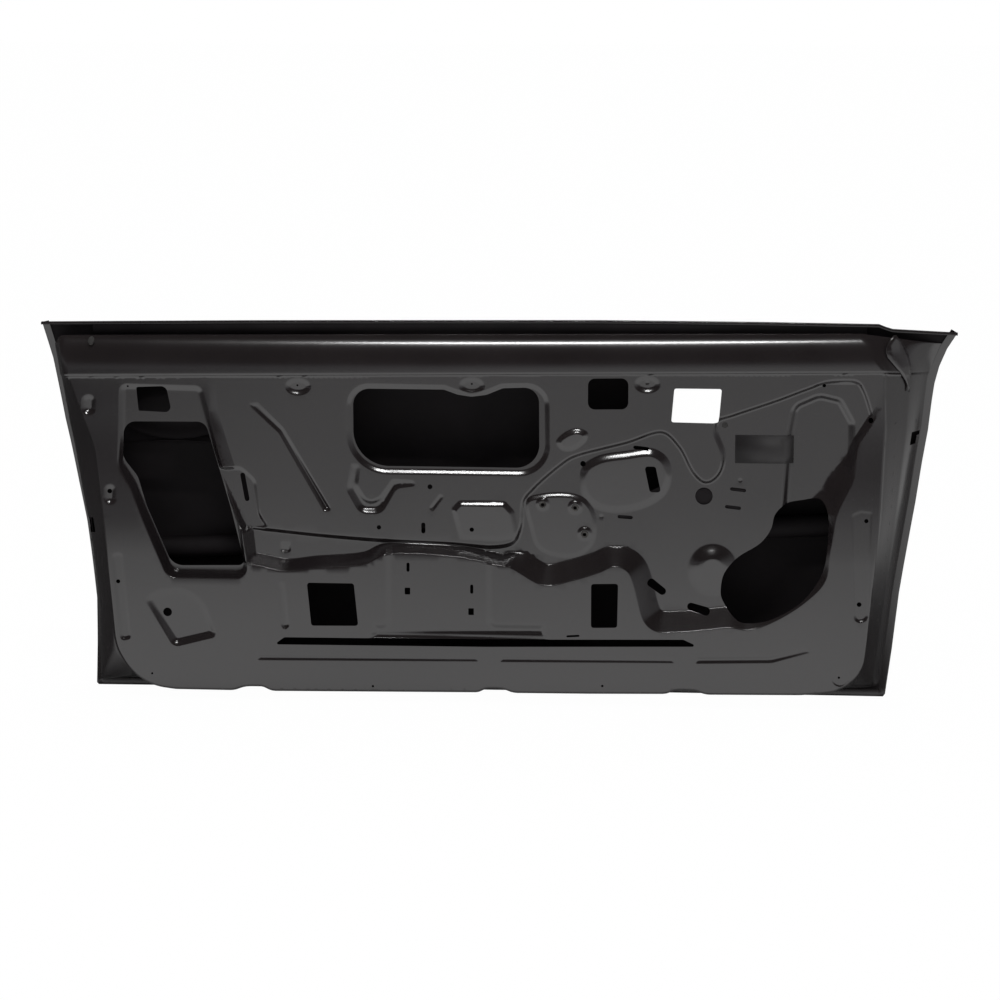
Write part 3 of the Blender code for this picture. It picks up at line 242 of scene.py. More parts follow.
def outline(corners, spacing=3.0):
    """Closed outline through corners (x, z, radius), with points no further apart than the spacing."""
    points = []
    for i, corner in enumerate(corners):
        points += fillet(corners[i - 1], corner, corners[(i + 1) % len(corners)], corner[2], spacing)
    return np.array(even(points, spacing, closed=True))


def flow(places, spacing=3.0):
    """Closed smooth outline through places (x, z)."""
    places, points = np.array([place[:2] for place in places], float), []
    for i in range(len(places)):
        p = [places[(i + k) % len(places)] for k in (-1, 0, 1, 2)]
        t = np.concatenate([[0], np.cumsum([np.linalg.norm(b - a) ** 0.5 for a, b in zip(p, p[1:])])])
        count = max(2, math.ceil(np.linalg.norm(p[2] - p[1]) / spacing))
        for now in np.linspace(t[1], t[2], count, endpoint=False):
            a = [p[k] + (p[k + 1] - p[k]) * (now - t[k]) / (t[k + 1] - t[k]) for k in range(3)]
            b = [a[k] + (a[k + 1] - a[k]) * (now - t[k]) / (t[k + 2] - t[k]) for k in range(2)]
            points.append(b[0] + (b[1] - b[0]) * (now - t[1]) / (t[2] - t[1]))
    return np.array(points)


def oval(x, z, across, up, spacing=2.5):
    """Closed oval outline with the two half widths given."""
    turns = np.arange(max(10, round(math.tau * max(across, up) / spacing)))
    turns = turns * math.tau / len(turns)
    return np.column_stack([x + across * np.cos(turns), z + up * np.sin(turns)])


def slot_outline(a, b, width):
    """A slot of the given width with round ends."""
    heading = math.atan2(b[1] - a[1], b[0] - a[0])
    points = []
    for centre, first in ((b, heading - math.pi / 2), (a, heading + math.pi / 2)):
        for turn in np.linspace(first, first + math.pi, 9):
            points.append((centre[0] + width / 2 * math.cos(turn), centre[1] + width / 2 * math.sin(turn)))
    return np.array(points)


def within(points, line):
    """Whether each point lies inside a closed line."""
    x, z = points[:, 0:1], points[:, 1:2]
    a, b = line, np.roll(line, -1, axis=0)
    spans = (a[:, 1] > z) != (b[:, 1] > z)
    rise = np.where(b[:, 1] == a[:, 1], 1e-9, b[:, 1] - a[:, 1])
    return (np.sum(spans & (x < (b[:, 0] - a[:, 0]) * (z - a[:, 1]) / rise + a[:, 0]), axis=1) % 2) > 0


def to_line(points, line, closed=True, batch=4000):
    """Distance from each point to a line of points, worked out in batches to save memory."""
    a = line if closed else line[:-1]
    b = np.roll(line, -1, axis=0) if closed else line[1:]
    edge, best = b - a, np.full(len(points), 1e9)
    square = np.maximum(np.sum(edge * edge, axis=1), 1e-9)
    for first in range(0, len(points), batch):
        part = points[first:first + batch]
        gap = part[:, None, :] - a[None]
        share = np.clip(np.sum(gap * edge, axis=2) / square, 0, 1)
        best[first:first + batch] = np.linalg.norm(gap - share[..., None] * edge, axis=2).min(axis=1)
    return best


def soften(share):
    """Eases a share between zero and one."""
    share = np.clip(share, 0, 1)
    return share * share * (3 - 2 * share)


def wall_share(share, ends):
    """A straight slope from zero to one, eased at its two ends."""
    share = np.clip(share, 0, 1)
    near = np.minimum(share, 1 - share)
    rise = np.where(near < ends, near**2 / (2 * ends * (1 - ends)), (near - ends / 2) / (1 - ends))
    return np.where(share < 0.5, rise, 1 - rise)


def press(levels, points, line, run, target, relative):
    """Presses a field to a level, or a bead by a depth, with a softened wall inside its outline.

    A bead leans: it is deepest at its foot if it is sunk, and stands proudest at its top if raised.
    """
    low, high = line.min(axis=0), line.max(axis=0)
    near = np.all((points >= low) & (points <= high), axis=1)
    if not near.any():
        return levels
    part = points[near]
    inside = within(part, line)
    depth = np.zeros(len(part))
    depth[inside] = to_line(part[inside], line)
    ends = 0.06 if run is river_run else 0.25
    share = wall_share(depth / (run(part) if callable(run) else run), ends)
    target = target(part) if callable(target) else target
    if relative:
        height = (part[:, 1] - low[1]) / (high[1] - low[1])
        share = share * (0.16 + 0.84 * (height if target < 0 else 1 - height))
    levels = levels.copy()
    levels[near] = levels[near] + (target if relative else target - levels[near]) * share
    return levels


def ramp(points, x, z, reach):
    """One at a ramp's place, easing to zero further out."""
    return soften(1.6 - np.hypot(points[:, 0] - x, points[:, 1] - z) / reach)


def river_run(points):
    """Width of the long wall under the regulator field, which spreads at its foot and front end."""
    low = np.maximum(soften((260 - points[:, 1]) / 30), soften((300 - points[:, 0]) / 40))
    return 10 + (4 + 14 * soften(points[:, 0] / 40)) * low + 30 * ramp(points, 505, 318, 45)


def regulator_level(points):
    """Six millimetres below the belt's level inside the regulator field, with a short wall on top."""
    depth = np.zeros(len(points))
    inside = within(points, REGULATOR_FIELD)
    depth[inside] = to_line(points[inside], REGULATOR_TOP, closed=False)
    return 6.0 * wall_share(depth / REGULATOR_WALL, 0.3)


def lamp_run(points):
    """Width of the lamp field's wall, which spreads at its front side."""
    return 13 + 30 * ramp(points, 500, 312, 40)


REGULATOR_FIELD = flow([(-378, 257), (-342, 255), (-300, 251), (-255, 247), (-162, 241), (-75, 238),
                        (-2, 235), (18, 242), (26, 262), (30, 300), (46, 321), (96, 364),
                        (111, 371), (180, 390), (236, 406), (262, 384), (284, 345), (298, 334),
                        (312, 344), (318, 368), (306, 404), (310, 422), (335, 432), (397, 454),
                        (440, 471), (477, 484), (514, 482), (536, 436), (540, 414),
                        (518, 392), (510, 340), (488, 290), (479, 240), (472, 192),
                        (446, 162), (400, 131), (362, 117), (335, 120), (309, 117),
                        (259, 112), (228, 113), (211, 126), (186, 200), (168, 207),
                        (145, 198), (108, 186), (65, 178), (14, 204), (-10, 208),
                        (-60, 217), (-165, 219), (-195, 206), (-269, 198), (-313, 193),
                        (-345, 199), (-372, 207)])
SHARED_FROM = int(np.argmin(np.linalg.norm(REGULATOR_FIELD - (518, 392), axis=1)))
SHARED_TO = int(np.argmin(np.linalg.norm(REGULATOR_FIELD - (-372, 207), axis=1)))
REGULATOR_TOP = np.vstack([REGULATOR_FIELD[SHARED_TO:], REGULATOR_FIELD[:SHARED_FROM + 1]])
REGULATOR_WALL = 9.0
FIELDS = [
    (outline([(-168, 300, 4), (-8, 300, 4), (-8, 123, 6), (71, 123, 5), (71, 98, 5), (-188, 93, 5),
              (-188, 119, 5), (-168, 119, 6)]), 13, -15.0),
    (np.vstack([even([(-377, 259), (-410, 369), (-425, 424), (-430, 480), (552, 484), (548, 440)], 4),
                REGULATOR_FIELD[SHARED_FROM:SHARED_TO + 1]]), river_run, regulator_level),
    (outline([(-557, 465, 12), (-434, 463, 14), (-424, 424, 30), (-410, 369, 60), (-377, 259, 60),
              (-365, 180, 18), (-488, 180, 24), (-525, 269, 60), (-542, 313, 50), (-561, 344, 30),
              (-559, 400, 50)]), 10, 3.0),
    (outline([(-420, 345, 4), (-378, 345, 18), (-356, 325, 18), (-350, 274, 30), (-334, 250, 8),
              (-376, 248, 4)]), 7, 3.0),
    (outline([(404, 288, 6), (411, 404, 30), (418, 445, 24), (458, 463, 30), (492, 455, 16),
              (512, 420, 20), (512, 340, 40), (484, 285, 12)]), lamp_run, 14.0),
    (outline([(-224, 469, 34), (-80, 468, 14), (-60, 461, 14), (-42, 458, 20), (-22, 461, 16),
              (2, 471, 14), (72, 473, 34), (74, 335, 46), (-226, 335, 62)]), 9, 4.5)]
FIELDS = [(line, run, level, False) for line, run, level in FIELDS]
BEADS = [
    ([(-524, 150, 10), (-500, 165, 20), (-463, 168, 40), (-432, 150, 50), (-414, 100, 10), (-418, 92, 8),
      (-480, 76, 14)], 12, 7),
    ([(-551, 219, 8), (-570, 217, 8), (-559, 84, 7), (-541, 88, 7)], 6, 3),
    ([(-613, 449, 11), (-590, 449, 11), (-590, 417, 11), (-613, 417, 11)], 9, 6),
    ([(-580, 319, 10), (-559, 319, 10), (-560, 287, 10), (-580, 287, 10)], 9, 5),
    ([(-372, 438, 4), (-352, 440, 4), (-314, 402, 20), (-244, 280, 5), (-258, 278, 5),
      (-324, 394, 20)], 9, 7),
    ([(-324, 178, 6), (-312, 178, 6), (-306, 108, 6), (-320, 108, 6)], 6, 3),
    ([(-356, 70, 3), (-29, 74, 3), (-29, 63, 3), (-356, 59, 3)], 5.5, 1.6),
    ([(1, 74, 3), (256, 77, 3), (256, 66, 3), (1, 63, 3)], 5.5, 1.6),
    ([(285, 78, 3), (392, 81, 30), (446, 95, 5), (455, 86, 5), (396, 69, 30), (285, 66, 3)], 5.5, 1.8),
    ([(-192, 107, 7), (74, 107, 7), (74, 92, 7), (-192, 90, 7)], 7.5, 4.5),
    ([(-219, 352, 4), (-201, 352, 8), (-206, 318, 12), (-192, 296, 12), (-176, 304, 12),
      (-158, 330, 8), (-124, 328, 6), (-122, 318, 6), (-150, 314, 12), (-172, 276, 20),
      (-206, 276, 20), (-226, 312, 12)], 11, 7),
    ([(-72, 286, 6), (-60, 299, 8), (8, 299, 10), (22, 284, 10), (30, 244, 10), (-2, 238, 6),
      (-60, 240, 6)], 9, -5),
    ([(505, 290, 8), (520, 296, 6), (538, 294, 5), (534, 132, 12), (512, 130, 10)], 5, 2.5),
    ([(-324, 233, 3), (-307, 233, 3), (-307, 216, 5), (-324, 216, 5)], 4, 3),
    ([(-105, 286, 4), (-88, 310, 4), (-80, 304, 4), (-98, 280, 4)], 5, 3)]
FIELDS += [(outline(corners), run, depth, True) for corners, run, depth in BEADS]
FIELDS += [(flow(places), run, depth, True) for places, run, depth in (
    ([(114, 322), (118, 350), (140, 366), (180, 374), (222, 378), (243, 364), (250, 340), (242, 312),
      (214, 291), (172, 281), (140, 286), (120, 302)], 13, -7),
    ([(80, 386), (92, 400), (112, 407), (128, 400), (126, 388), (104, 372), (88, 374)], 9, -6),
    ([(36, 300), (56, 309), (104, 311), (126, 302), (138, 284), (142, 256), (134, 232), (112, 216),
      (74, 217), (52, 230), (42, 258)], 8, -4))]
FIELDS += [(oval(x, z, across, up), run, depth, True) for x, z, across, up, run, depth in (
    (-294, 463, 20, 14, 9, 5), (-41, 467, 20, 14, 9, 5), (212, 472, 20, 14, 9, 5), (212, 474, 4, 4, 3, 2),
    (309, 200, 38, 40, 24, -13), (62, 294, 11, 11, 6, -3.5), (109, 290, 12, 12, 6, -3.5),
    (123, 251, 12, 12, 6, -3.5), (347, 333, 4, 4, 2, 1), (495, 50, 14, 14, 3, 0.8), (-314, 111, 4, 4, 2, 2),
    (147, 277, 4, 4, 2, 1.5))]


def panel_level(points):
    """Y of the panel's cabin face at (x, z) points."""
    levels = -20.0 * soften((478.0 - points[:, 1]) / 263.0)
    for line, run, target, relative in FIELDS:
        levels = press(levels, points, line, run, target, relative)
    return levels


HOLES = [outline(corners, 2.0) for corners in (
    [(-551, 408, 18), (-431, 409, 16), (-415, 353, 60), (-396, 285, 90), (-375, 197, 8),
     (-483, 195, 24), (-520, 284, 60), (-532, 327, 30), (-553, 354, 20)],
    [(-532, 459, 3), (-488, 461, 9), (-480, 422, 8), (-529, 424, 2)],
    [(-214, 460, 24), (-82, 460, 14), (-62, 453, 14), (-42, 450, 20), (-20, 453, 16),
     (4, 463, 14), (56, 465, 22), (57, 347, 34), (-214, 347, 52)],
    [(251, 466, 3), (319, 466, 3), (315, 416, 3), (247, 417, 3)],
    [(127, 479, 10), (185, 480, 10), (185, 435, 10), (127, 434, 10)],
    [(-281, 177, 4), (-212, 177, 4), (-206, 114, 4), (-275, 113, 4)],
    [(134, 182, 4), (173, 183, 4), (172, 118, 4), (134, 117, 4)],
    [(-330, 84, 2), (-315, 95, 3), (-20, 97, 1), (268, 102, 3), (290, 92, 2), (-20, 86, 1)],
    [(209, 352, 4), (225, 352, 4), (233, 314, 4), (217, 314, 4)],
    [(-138, 171, 1), (-130, 171, 1), (-130, 161, 1), (-138, 161, 1)],
    [(-45, 142, 1), (-37, 142, 1), (-37, 132, 1), (-45, 132, 1)])]
HOLES.append(flow([(412, 298), (436, 304), (462, 306), (472, 292), (474, 250), (466, 200), (440, 162),
                   (412, 142), (382, 129), (352, 127), (336, 138), (322, 160), (321, 176), (326, 198),
                   (344, 219), (378, 242), (392, 262), (398, 284)], 2.0))
HOLES += [slot_outline(*slot) for slot in (
    ((-377, 331), (-371, 296), 7), ((220, 181), (236, 168), 11), ((278, 146), (300, 140), 11),
    ((195, 379), (213, 377), 5), ((173, 277), (190, 276), 5), ((335, 320), (353, 318), 5),
    ((328, 294), (346, 292), 5), ((-133, 206), (-133, 197), 4.5), ((-40, 175), (-40, 166), 4.5),
    ((100, 104), (116, 105), 3), ((-112, 262), (-112, 252), 6))]
HOLES += [oval(x, z, r, r, 1.2) for x, z, r in (
    (62, 294, 3), (109, 290, 3), (123, 251, 3), (295, 309, 12.5), (120, 354, 4), (-102, 318, 3.6),
    (-177, 257, 3.2), (-41, 256, 3.2), (532, 423, 3.6), (465, 472, 2.6),
    (528, 280, 3), (520, 158, 3.4), (-571, 307, 3.4), (-560, 174, 3), (-488, 129, 6.5), (-512, 37, 1.6),
    (-185, 24, 1.8), (151, 31, 1.8), (493, 50, 1.8), (-295, 464, 1.5), (-41, 469, 1.5),
    (-544, 460, 1.5))]

REAR_CREASE = [(-632, 468), (-624, 444), (-613, 414), (-602, 388), (-594, 364), (-589, 323),
               (-583, 267), (-578, 227), (-575, 187), (-571, 142), (-567, 91), (-563, 72),
               (-550, 49), (-535, 32), (-517, 21), (-501, 16), (-478, 13)]
LOWER_CREASE = [(-390, 13), (-376, 19), (-348, 20), (-336, 13), (-182, 15), (-29, 17), (-20, 23),
                (6, 23), (20, 17), (130, 18), (245, 20), (256, 26), (286, 26), (300, 20), (438, 22)]
FRONT_CREASE = [(470, 25), (489, 28), (515, 44), (529, 66), (533, 103), (537, 152), (543, 215),
                (549, 297), (552, 368), (554, 409), (553, 436), (552, 462), (552, 476)]
REAR_EDGE = [(-676, 549), (-664, 494), (-652, 401), (-646, 366), (-636, 303), (-626, 245),
             (-619, 185), (-613, 129), (-612, 64), (-612, 3)]
BOTTOM_EDGE = [(-609, 0), (-200, 0), (200, 2), (560, 4)]
FRONT_EDGE = [(563, 8), (572, 74), (581, 156), (587, 196), (602, 292), (610, 353), (617, 400),
              (621, 444), (624, 470), (630, 496), (640, 522), (654, 546)]
TOP_EDGE = [(562, 550), (552, 553), (542, 557), (372, 558), (141, 558), (-151, 555), (-371, 553)]
REAR_FOLDS = [(0.10, 0.03), (0.80, 0.36), (0.98, 0.52), (1.0, 1.0)]
LOWER_FOLDS = [(0.06, 0.03), (0.25, 0.30), (0.80, 0.80), (1.0, 1.0)]
FRONT_FOLDS = [(0.10, 0.06), (0.50, 0.36), (0.62, 0.44), (1.0, 1.0)]


def flowing(line, spacing):
    """The open line eased round its corners."""
    eased = [np.array(line[0], float)]
    for i in range(1, len(line) - 1):
        eased += fillet(line[i - 1], line[i], line[i + 1], 60, spacing)
    return even(eased + [np.array(line[-1], float)], spacing)


def skin_y(points):
    """Y of the skin's street face."""
    points = np.atleast_2d(points)
    height = points[:, 1] / 530.0
    bow = 10.0 * (points[:, 0] / 655.0) ** 2
    rim = oval(-487, 420, 88, 46)
    scoop = np.where(within(points, rim), to_line(points, rim), 0) / 30
    return 70.0 + 111.0 * height - 129.0 * height**2 - bow - 16 * soften(scoop)


def hem_line(distance, spacing=12):
    """The skin's edge from its rear top corner down, along and up the front, moved inwards."""
    edge = np.array(even(REAR_EDGE + BOTTOM_EDGE + FRONT_EDGE, spacing))
    ahead = np.gradient(edge, axis=0)
    ahead /= np.linalg.norm(ahead, axis=1)[:, None]
    return edge + np.column_stack([-ahead[:, 1], ahead[:, 0]]) * distance


def reach_hem(points, edge):
    """Where lines from the door's middle through the points meet the inset hem line."""
    found = []
    for p in points:
        target = np.array((p[0], p[1] - 16.0 * float(soften((p[1] - 460) / 85))))
        anchor = np.array((max(-420.0, min(400.0, target[0])), max(300.0, target[1])))
        ray, side, gap = target - anchor, np.diff(edge, axis=0), edge[:-1] - anchor
        cross = ray[0] * side[:, 1] - ray[1] * side[:, 0]
        cross = np.where(abs(cross) < 1e-9, 1e-9, cross)
        reach = (gap[:, 0] * side[:, 1] - gap[:, 1] * side[:, 0]) / cross
        share = (gap[:, 0] * ray[1] - gap[:, 1] * ray[0]) / cross
        met = (reach > 0) & (share >= -1e-6) & (share <= 1 + 1e-6)
        found.append(anchor + ray * reach[met].min())
    return np.array(found)


def eased_rows(rows, times):
    """Rounds the folds of the rows of points by cutting their corners."""
    for _ in range(times):
        cut = [rows[0]]
        for a, b in zip(rows, rows[1:]):
            cut += [a * 0.75 + b * 0.25, a * 0.25 + b * 0.75]
        rows = [cut[0]] + cut[2:-1] + [rows[-1]]
    return rows


def shut_rows(creases):
    """Rows of points from the crease out to the hemmed flange."""
    flat = creases[:, [0, 2]]
    foot, rim = reach_hem(flat, hem_line(12.0)), reach_hem(flat, hem_line(4.5))
    stack = SKIN_SHEET + HEM_SEALER + PANEL_SHEET
    foot_y, rim_y = skin_y(foot) - stack, skin_y(rim) - stack
    side = soften((creases[:, 2] - 20) / 60)
    rows = [creases]
    for k in range(4):
        towards = np.where(creases[:, 0] < 0, REAR_FOLDS[k][0], FRONT_FOLDS[k][0])
        deeper = np.where(creases[:, 0] < 0, REAR_FOLDS[k][1], FRONT_FOLDS[k][1])
        out = LOWER_FOLDS[k][0] + (towards - LOWER_FOLDS[k][0]) * side
        depth = LOWER_FOLDS[k][1] + (deeper - LOWER_FOLDS[k][1]) * side
        rows.append(np.column_stack([creases[:, 0] + (foot[:, 0] - creases[:, 0]) * out,
                                     creases[:, 1] + (foot_y - creases[:, 1]) * depth,
                                     creases[:, 2] + (foot[:, 1] - creases[:, 2]) * out]))
    rows.append(np.column_stack([rim[:, 0], rim_y, rim[:, 1]]))
    return eased_rows(rows, 2)


def belt_rows(shares):
    """Rows of points of the belt roll, from the crease up and over to the glass slot."""
    low = BELT_ENDS_LOW[0] + (BELT_ENDS_LOW[1] - BELT_ENDS_LOW[0]) * shares
    top = BELT_ENDS_TOP[0] + (BELT_ENDS_TOP[1] - BELT_ENDS_TOP[0]) * shares
    foot = crease_z(low) + 4.0
    height = 540.0 + 0.0115 * top - foot
    bow = 6.0 * (top / 655.0) ** 2
    rows = [np.column_stack([low, np.full(len(low), 0.0), crease_z(low)])]
    for turn in np.radians(np.arange(0, 91, 4.5)):
        x = low + (top - low) * math.sin(turn)
        rows.append(np.column_stack([x, -4.0 + (25.0 - bow) * (1 - math.cos(turn)),
                                     foot + height * math.sin(turn)]))
    edge = rows[-1]
    rows.append(np.column_stack([top, edge[:, 1] + 1.5, edge[:, 2] - 1.5]))
    rows.append(np.column_stack([top, edge[:, 1] + 1.5, edge[:, 2] - 12.0]))
    return rows


def thick_sheet(name, vertices, faces, thickness, finishes, normal_of=None):
    """A sheet from points in millimetres: the given side, the hidden side behind it, and its rims."""
    mesh = bpy.data.meshes.new(name)
    mesh.from_pydata([metres(*v) for v in vertices], [], faces)
    work = bmesh.new()
    work.from_mesh(mesh)
    bmesh.ops.remove_doubles(work, verts=work.verts, dist=MERGE_DISTANCE)
    bmesh.ops.delete(work, geom=[v for v in work.verts if not v.link_faces], context="VERTS")
    work.normal_update()
    points = np.array([v.co for v in work.verts])
    normals = np.array([v.normal for v in work.verts])
    if normal_of:
        normals = normal_of(points, normals)
    work.verts.index_update()
    sheet = [tuple(v.index for v in face.verts) for face in work.faces]
    rims = [(loop.vert.index, loop.link_loop_next.vert.index)
            for edge in work.edges if edge.is_boundary for loop in edge.link_loops]
    work.free()
    count = len(points)
    behind = points - normals * thickness / 1000
    outwards = np.zeros_like(points)
    for a, b in rims:
        side = np.cross(points[b] - points[a], normals[a] + normals[b])
        outwards[[a, b]] += side / max(np.linalg.norm(side), 1e-12)
    edge_points = sorted({i for pair in rims for i in pair})
    number = {i: 2 * count + k for k, i in enumerate(edge_points)}
    outwards = outwards[edge_points]
    outwards /= np.maximum(np.linalg.norm(outwards, axis=1), 1e-12)[:, None]
    step = len(edge_points)
    every_face = sheet + [tuple(i + count for i in face[::-1]) for face in sheet]
    every_face += [(number[b], number[a], number[a] + step, number[b] + step) for a, b in rims]
    mesh = bpy.data.meshes.new(name)
    every_point = np.vstack([points, behind, points[edge_points], behind[edge_points]])
    mesh.from_pydata(every_point.tolist(), [], every_face)
    for finish in finishes:
        mesh.materials.append(finish)
    mesh.polygons.foreach_set("use_smooth", [True] * len(every_face))
    finish_of = [0] * len(sheet) + [len(finishes) - 1] * len(sheet) + [0] * len(rims)
    mesh.polygons.foreach_set("material_index", finish_of)
    mesh.normals_split_custom_set_from_vertices(np.vstack([normals, -normals, outwards, outwards]).tolist())
    piece = bpy.data.objects.new(name, mesh)
    scene.collection.objects.link(piece)
    return piece


def grid_faces(rows, count):
    """Quads between rows of equal length, laid one after another."""
    return [(r * count + i, r * count + i + 1, (r + 1) * count + i + 1, (r + 1) * count + i)
            for r in range(rows - 1) for i in range(count - 1)]


def meshed(boundary, holes, points):
    """(points, triangles) of the flat region inside the boundary and outside the holes."""
    loops, edges, flat = [boundary] + holes, [], []
    for loop in loops:
        first = len(flat)
        flat += [Vector((float(p[0]), float(p[1]))) for p in loop]
        edges += [(first + i, first + (i + 1) % len(loop)) for i in range(len(loop))]
    flat += [Vector((float(p[0]), float(p[1]))) for p in points]
    found, _, faces, _, _, _ = delaunay_2d_cdt(flat, edges, [], 0, 1e-4)
    flat = np.array([(p[0], p[1]) for p in found])
    triangles = np.array([list(face) for face in faces])
    centres = flat[triangles].mean(axis=1)
    keep = within(centres, boundary)
    for hole in holes:
        keep &= ~within(centres, hole)
    return flat, triangles[keep]


def wall_rings(line, run):
    """Points in rows down a pressing's wall, from its outline to its foot."""
    step = np.clip(0.5 * (run if not callable(run) else 6), 2.4, 4.2)
    line = np.array(even(list(line), step, closed=True))
    ahead = np.roll(line, -1, axis=0) - np.roll(line, 1, axis=0)
    normal = np.column_stack([-ahead[:, 1], ahead[:, 0]])
    normal /= np.maximum(np.linalg.norm(ahead, axis=1), 1e-9)[:, None]
    area = np.sum(line[:, 0] * np.roll(line[:, 1], -1) - np.roll(line[:, 0], -1) * line[:, 1])
    normal *= 1 if area > 0 else -1
    width = run(line) if callable(run) else np.full(len(line), float(run))
    found = [line]
    for share in ((0.06, 0.5, 0.94, 1.0) if run is river_run else (0.16, 0.4, 0.62, 0.84, 1.0)):
        reach = share * width
        inner = line + normal * reach[:, None]
        good = within(inner, line) & (to_line(inner, line) > reach * 0.96)
        found.append(inner[good])
    for reach in (np.full(len(line), -0.7), width + 0.7):
        beyond = line + normal * reach[:, None]
        found.append(beyond[to_line(beyond, line) > abs(reach) * 0.93])
    return np.vstack(found)


def spaced(points, gap):
    """The points without those that crowd an earlier one."""
    seen, kept = {}, []
    for p in points:
        key = (math.floor(p[0] / gap), math.floor(p[1] / gap))
        crowd = any((p[0] - q[0]) ** 2 + (p[1] - q[1]) ** 2 < gap * gap
                    for i in (-1, 0, 1) for j in (-1, 0, 1) for q in seen.get((key[0] + i, key[1] + j), ()))
        if not crowd:
            seen.setdefault(key, []).append(p)
            kept.append(p)
    return np.array(kept)


def coating(name):
    """A new material with its shader and its object coordinates."""
    made = bpy.data.materials.new(name)
    made.use_nodes = True
    place = Wire.make(made.node_tree, "ShaderNodeTexCoord", out="Object")
    return made, made.node_tree.nodes["Principled BSDF"], place


def noise(place, scale, detail=2.0):
    """A cloudy value at a place."""
    return Wire.make(place.tree, "ShaderNodeTexNoise",
                     sockets={"Vector": place, "Scale": scale, "Detail": detail})


primer, shader, place = coating("dipped_primer")
cloudy = noise(place, 7.0, 3.0).between(0.35, 0.68)
dust = noise(place, 900.0, 1.0).between(0.62, 0.80) * noise(place, 30.0).between(0.40, 0.70)
coat = cloudy.blend((0.0086, 0.0070, 0.0073, 1), (0.0108, 0.0088, 0.0091, 1))
(dust * 0.35).blend(coat, (0.036, 0.033, 0.030, 1)).into(shader, "Base Color")
(0.165 + noise(place, 14.0, 4.0) * 0.05 + dust * 0.15).into(shader, "Roughness")
shader.inputs["Specular IOR Level"].default_value = 0.95
(noise(place, 420.0, 2.0) * 0.7 + noise(place, 90.0, 1.0) * 0.5).bump(0.22, 0.00012).into(shader, "Normal")

# Painted shade: the same primer drawn darker and with weaker reflections, for the hidden side of the sheets
# and for the parts inside the door, which lie in the cavity's shade.
painted_shade_primer, shader, place = coating("painted_shade_primer")
smudge = noise(place, 12.0, 4.0).between(0.3, 0.75)
smudge.blend((0.0050, 0.0038, 0.0044, 1), (0.0080, 0.0060, 0.0068, 1)).into(shader, "Base Color")
shader.inputs["Roughness"].default_value = 0.75
shader.inputs["Specular IOR Level"].default_value = 0.2

BELT_STEPS, SIDE_STEP, LATTICE_STEP, GUIDE_GAP, ROLL = 160, 6.5, 5.0, 0.9, 4.0
belt = belt_rows(np.linspace(0, 1, BELT_STEPS))
top_line = belt[0][:, [0, 2]]
round_the_face = [tuple(top_line[0])] + REAR_CREASE + LOWER_CREASE + FRONT_CREASE + [tuple(top_line[-1])]
sides = np.array(flowing(round_the_face, SIDE_STEP))
border = np.vstack([sides[:-1], top_line[::-1][:-1]])
ahead = np.gradient(sides, axis=0)
inward = np.column_stack([-ahead[:, 1], ahead[:, 0]]) / np.linalg.norm(ahead, axis=1)[:, None]
inward *= 1 if within(sides[50:51] + inward[50:51] * 8, border)[0] else -1
guide = [sides + inward * share for share in (0.5, 1.2, 2.1, 3.1, 4.2)]
guide += [top_line + (0, -drop) for drop in (1.5, 4.0)]
guide += [wall_rings(line, run) for line, run, _, _ in FIELDS] + [wall_rings(REGULATOR_FIELD, REGULATOR_WALL)]
for hole in HOLES:
    outwards = hole - hole.mean(axis=0)
    guide.append(hole + outwards / np.linalg.norm(outwards, axis=1)[:, None] * 1.6)
guide = np.vstack(guide)
guide = spaced(guide[within(guide, border)], GUIDE_GAP)

xs, zs = np.arange(-640, 560, LATTICE_STEP), np.arange(10, 495, LATTICE_STEP)
lattice = np.stack(np.meshgrid(xs, zs, indexing="ij"), axis=-1)
heights = panel_level(lattice.reshape(-1, 2)).reshape(len(xs), len(zs))
bend = np.zeros_like(heights)
bend[1:-1, 1:-1] = (abs(heights[2:, 1:-1] + heights[:-2, 1:-1] - 2 * heights[1:-1, 1:-1])
                    + abs(heights[1:-1, 2:] + heights[1:-1, :-2] - 2 * heights[1:-1, 1:-1]))
coarse = np.zeros(bend.shape, bool)
coarse[::2, ::2] = True
near_guide = KDTree(len(guide))
for number, p in enumerate(guide):
    near_guide.insert((p[0], p[1], 0), number)
near_guide.balance()
lattice = [p for p in lattice[(bend > 0.3) | coarse] if near_guide.find((p[0], p[1], 0))[2] > 2.2]
net = np.vstack([guide, lattice])
clear = within(net, border) & (to_line(net, border) > 0.4)
for hole in HOLES:
    low, high = hole.min(axis=0) - 3, hole.max(axis=0) + 3
    near = np.all((net > low) & (net < high), axis=1)
    clear[near] &= ~within(net[near], hole) & (to_line(net[near], hole) > 0.7)
flat, triangles = meshed(border, HOLES, net[clear])


def face_level(points):
    """The pressed face with its edge rolled towards the shut faces."""
    short = ROLL - np.minimum(to_line(points, sides, closed=False), ROLL)
    return panel_level(points) + ROLL - np.sqrt(np.maximum(ROLL**2 - short**2, 0))


def face_normals(points, normals):
    """True normals of the pressed face, so that its shading doesn't follow the triangles."""
    flat = points[:, [0, 2]] * 1000 + (DATUM.x, DATUM.z)
    on_it = within(flat, border) & (to_line(flat, border) > 0.3)
    near, step = flat[on_it], 0.3
    slopes = [(face_level(near + ahead) - face_level(near - ahead)) / (2 * step)
              for ahead in ((step, 0), (0, step))]
    true = np.column_stack([slopes[0], -np.ones(len(near)), slopes[1]])
    normals[on_it] = true / np.linalg.norm(true, axis=1)[:, None]
    return normals


vertices = [(x, y, z) for (x, z), y in zip(flat, face_level(flat))]
corner = [np.array(vertices[i]) for i in triangles[0]]
turned = np.cross(corner[1] - corner[0], corner[2] - corner[0])[1] > 0
faces = [tuple(int(i) for i in (t[::-1] if turned else t)) for t in triangles]
MOUTHS = [((-645, -10, 237), (-600, 34, 262)), ((560, 45, 384), (625, 66, 400))]


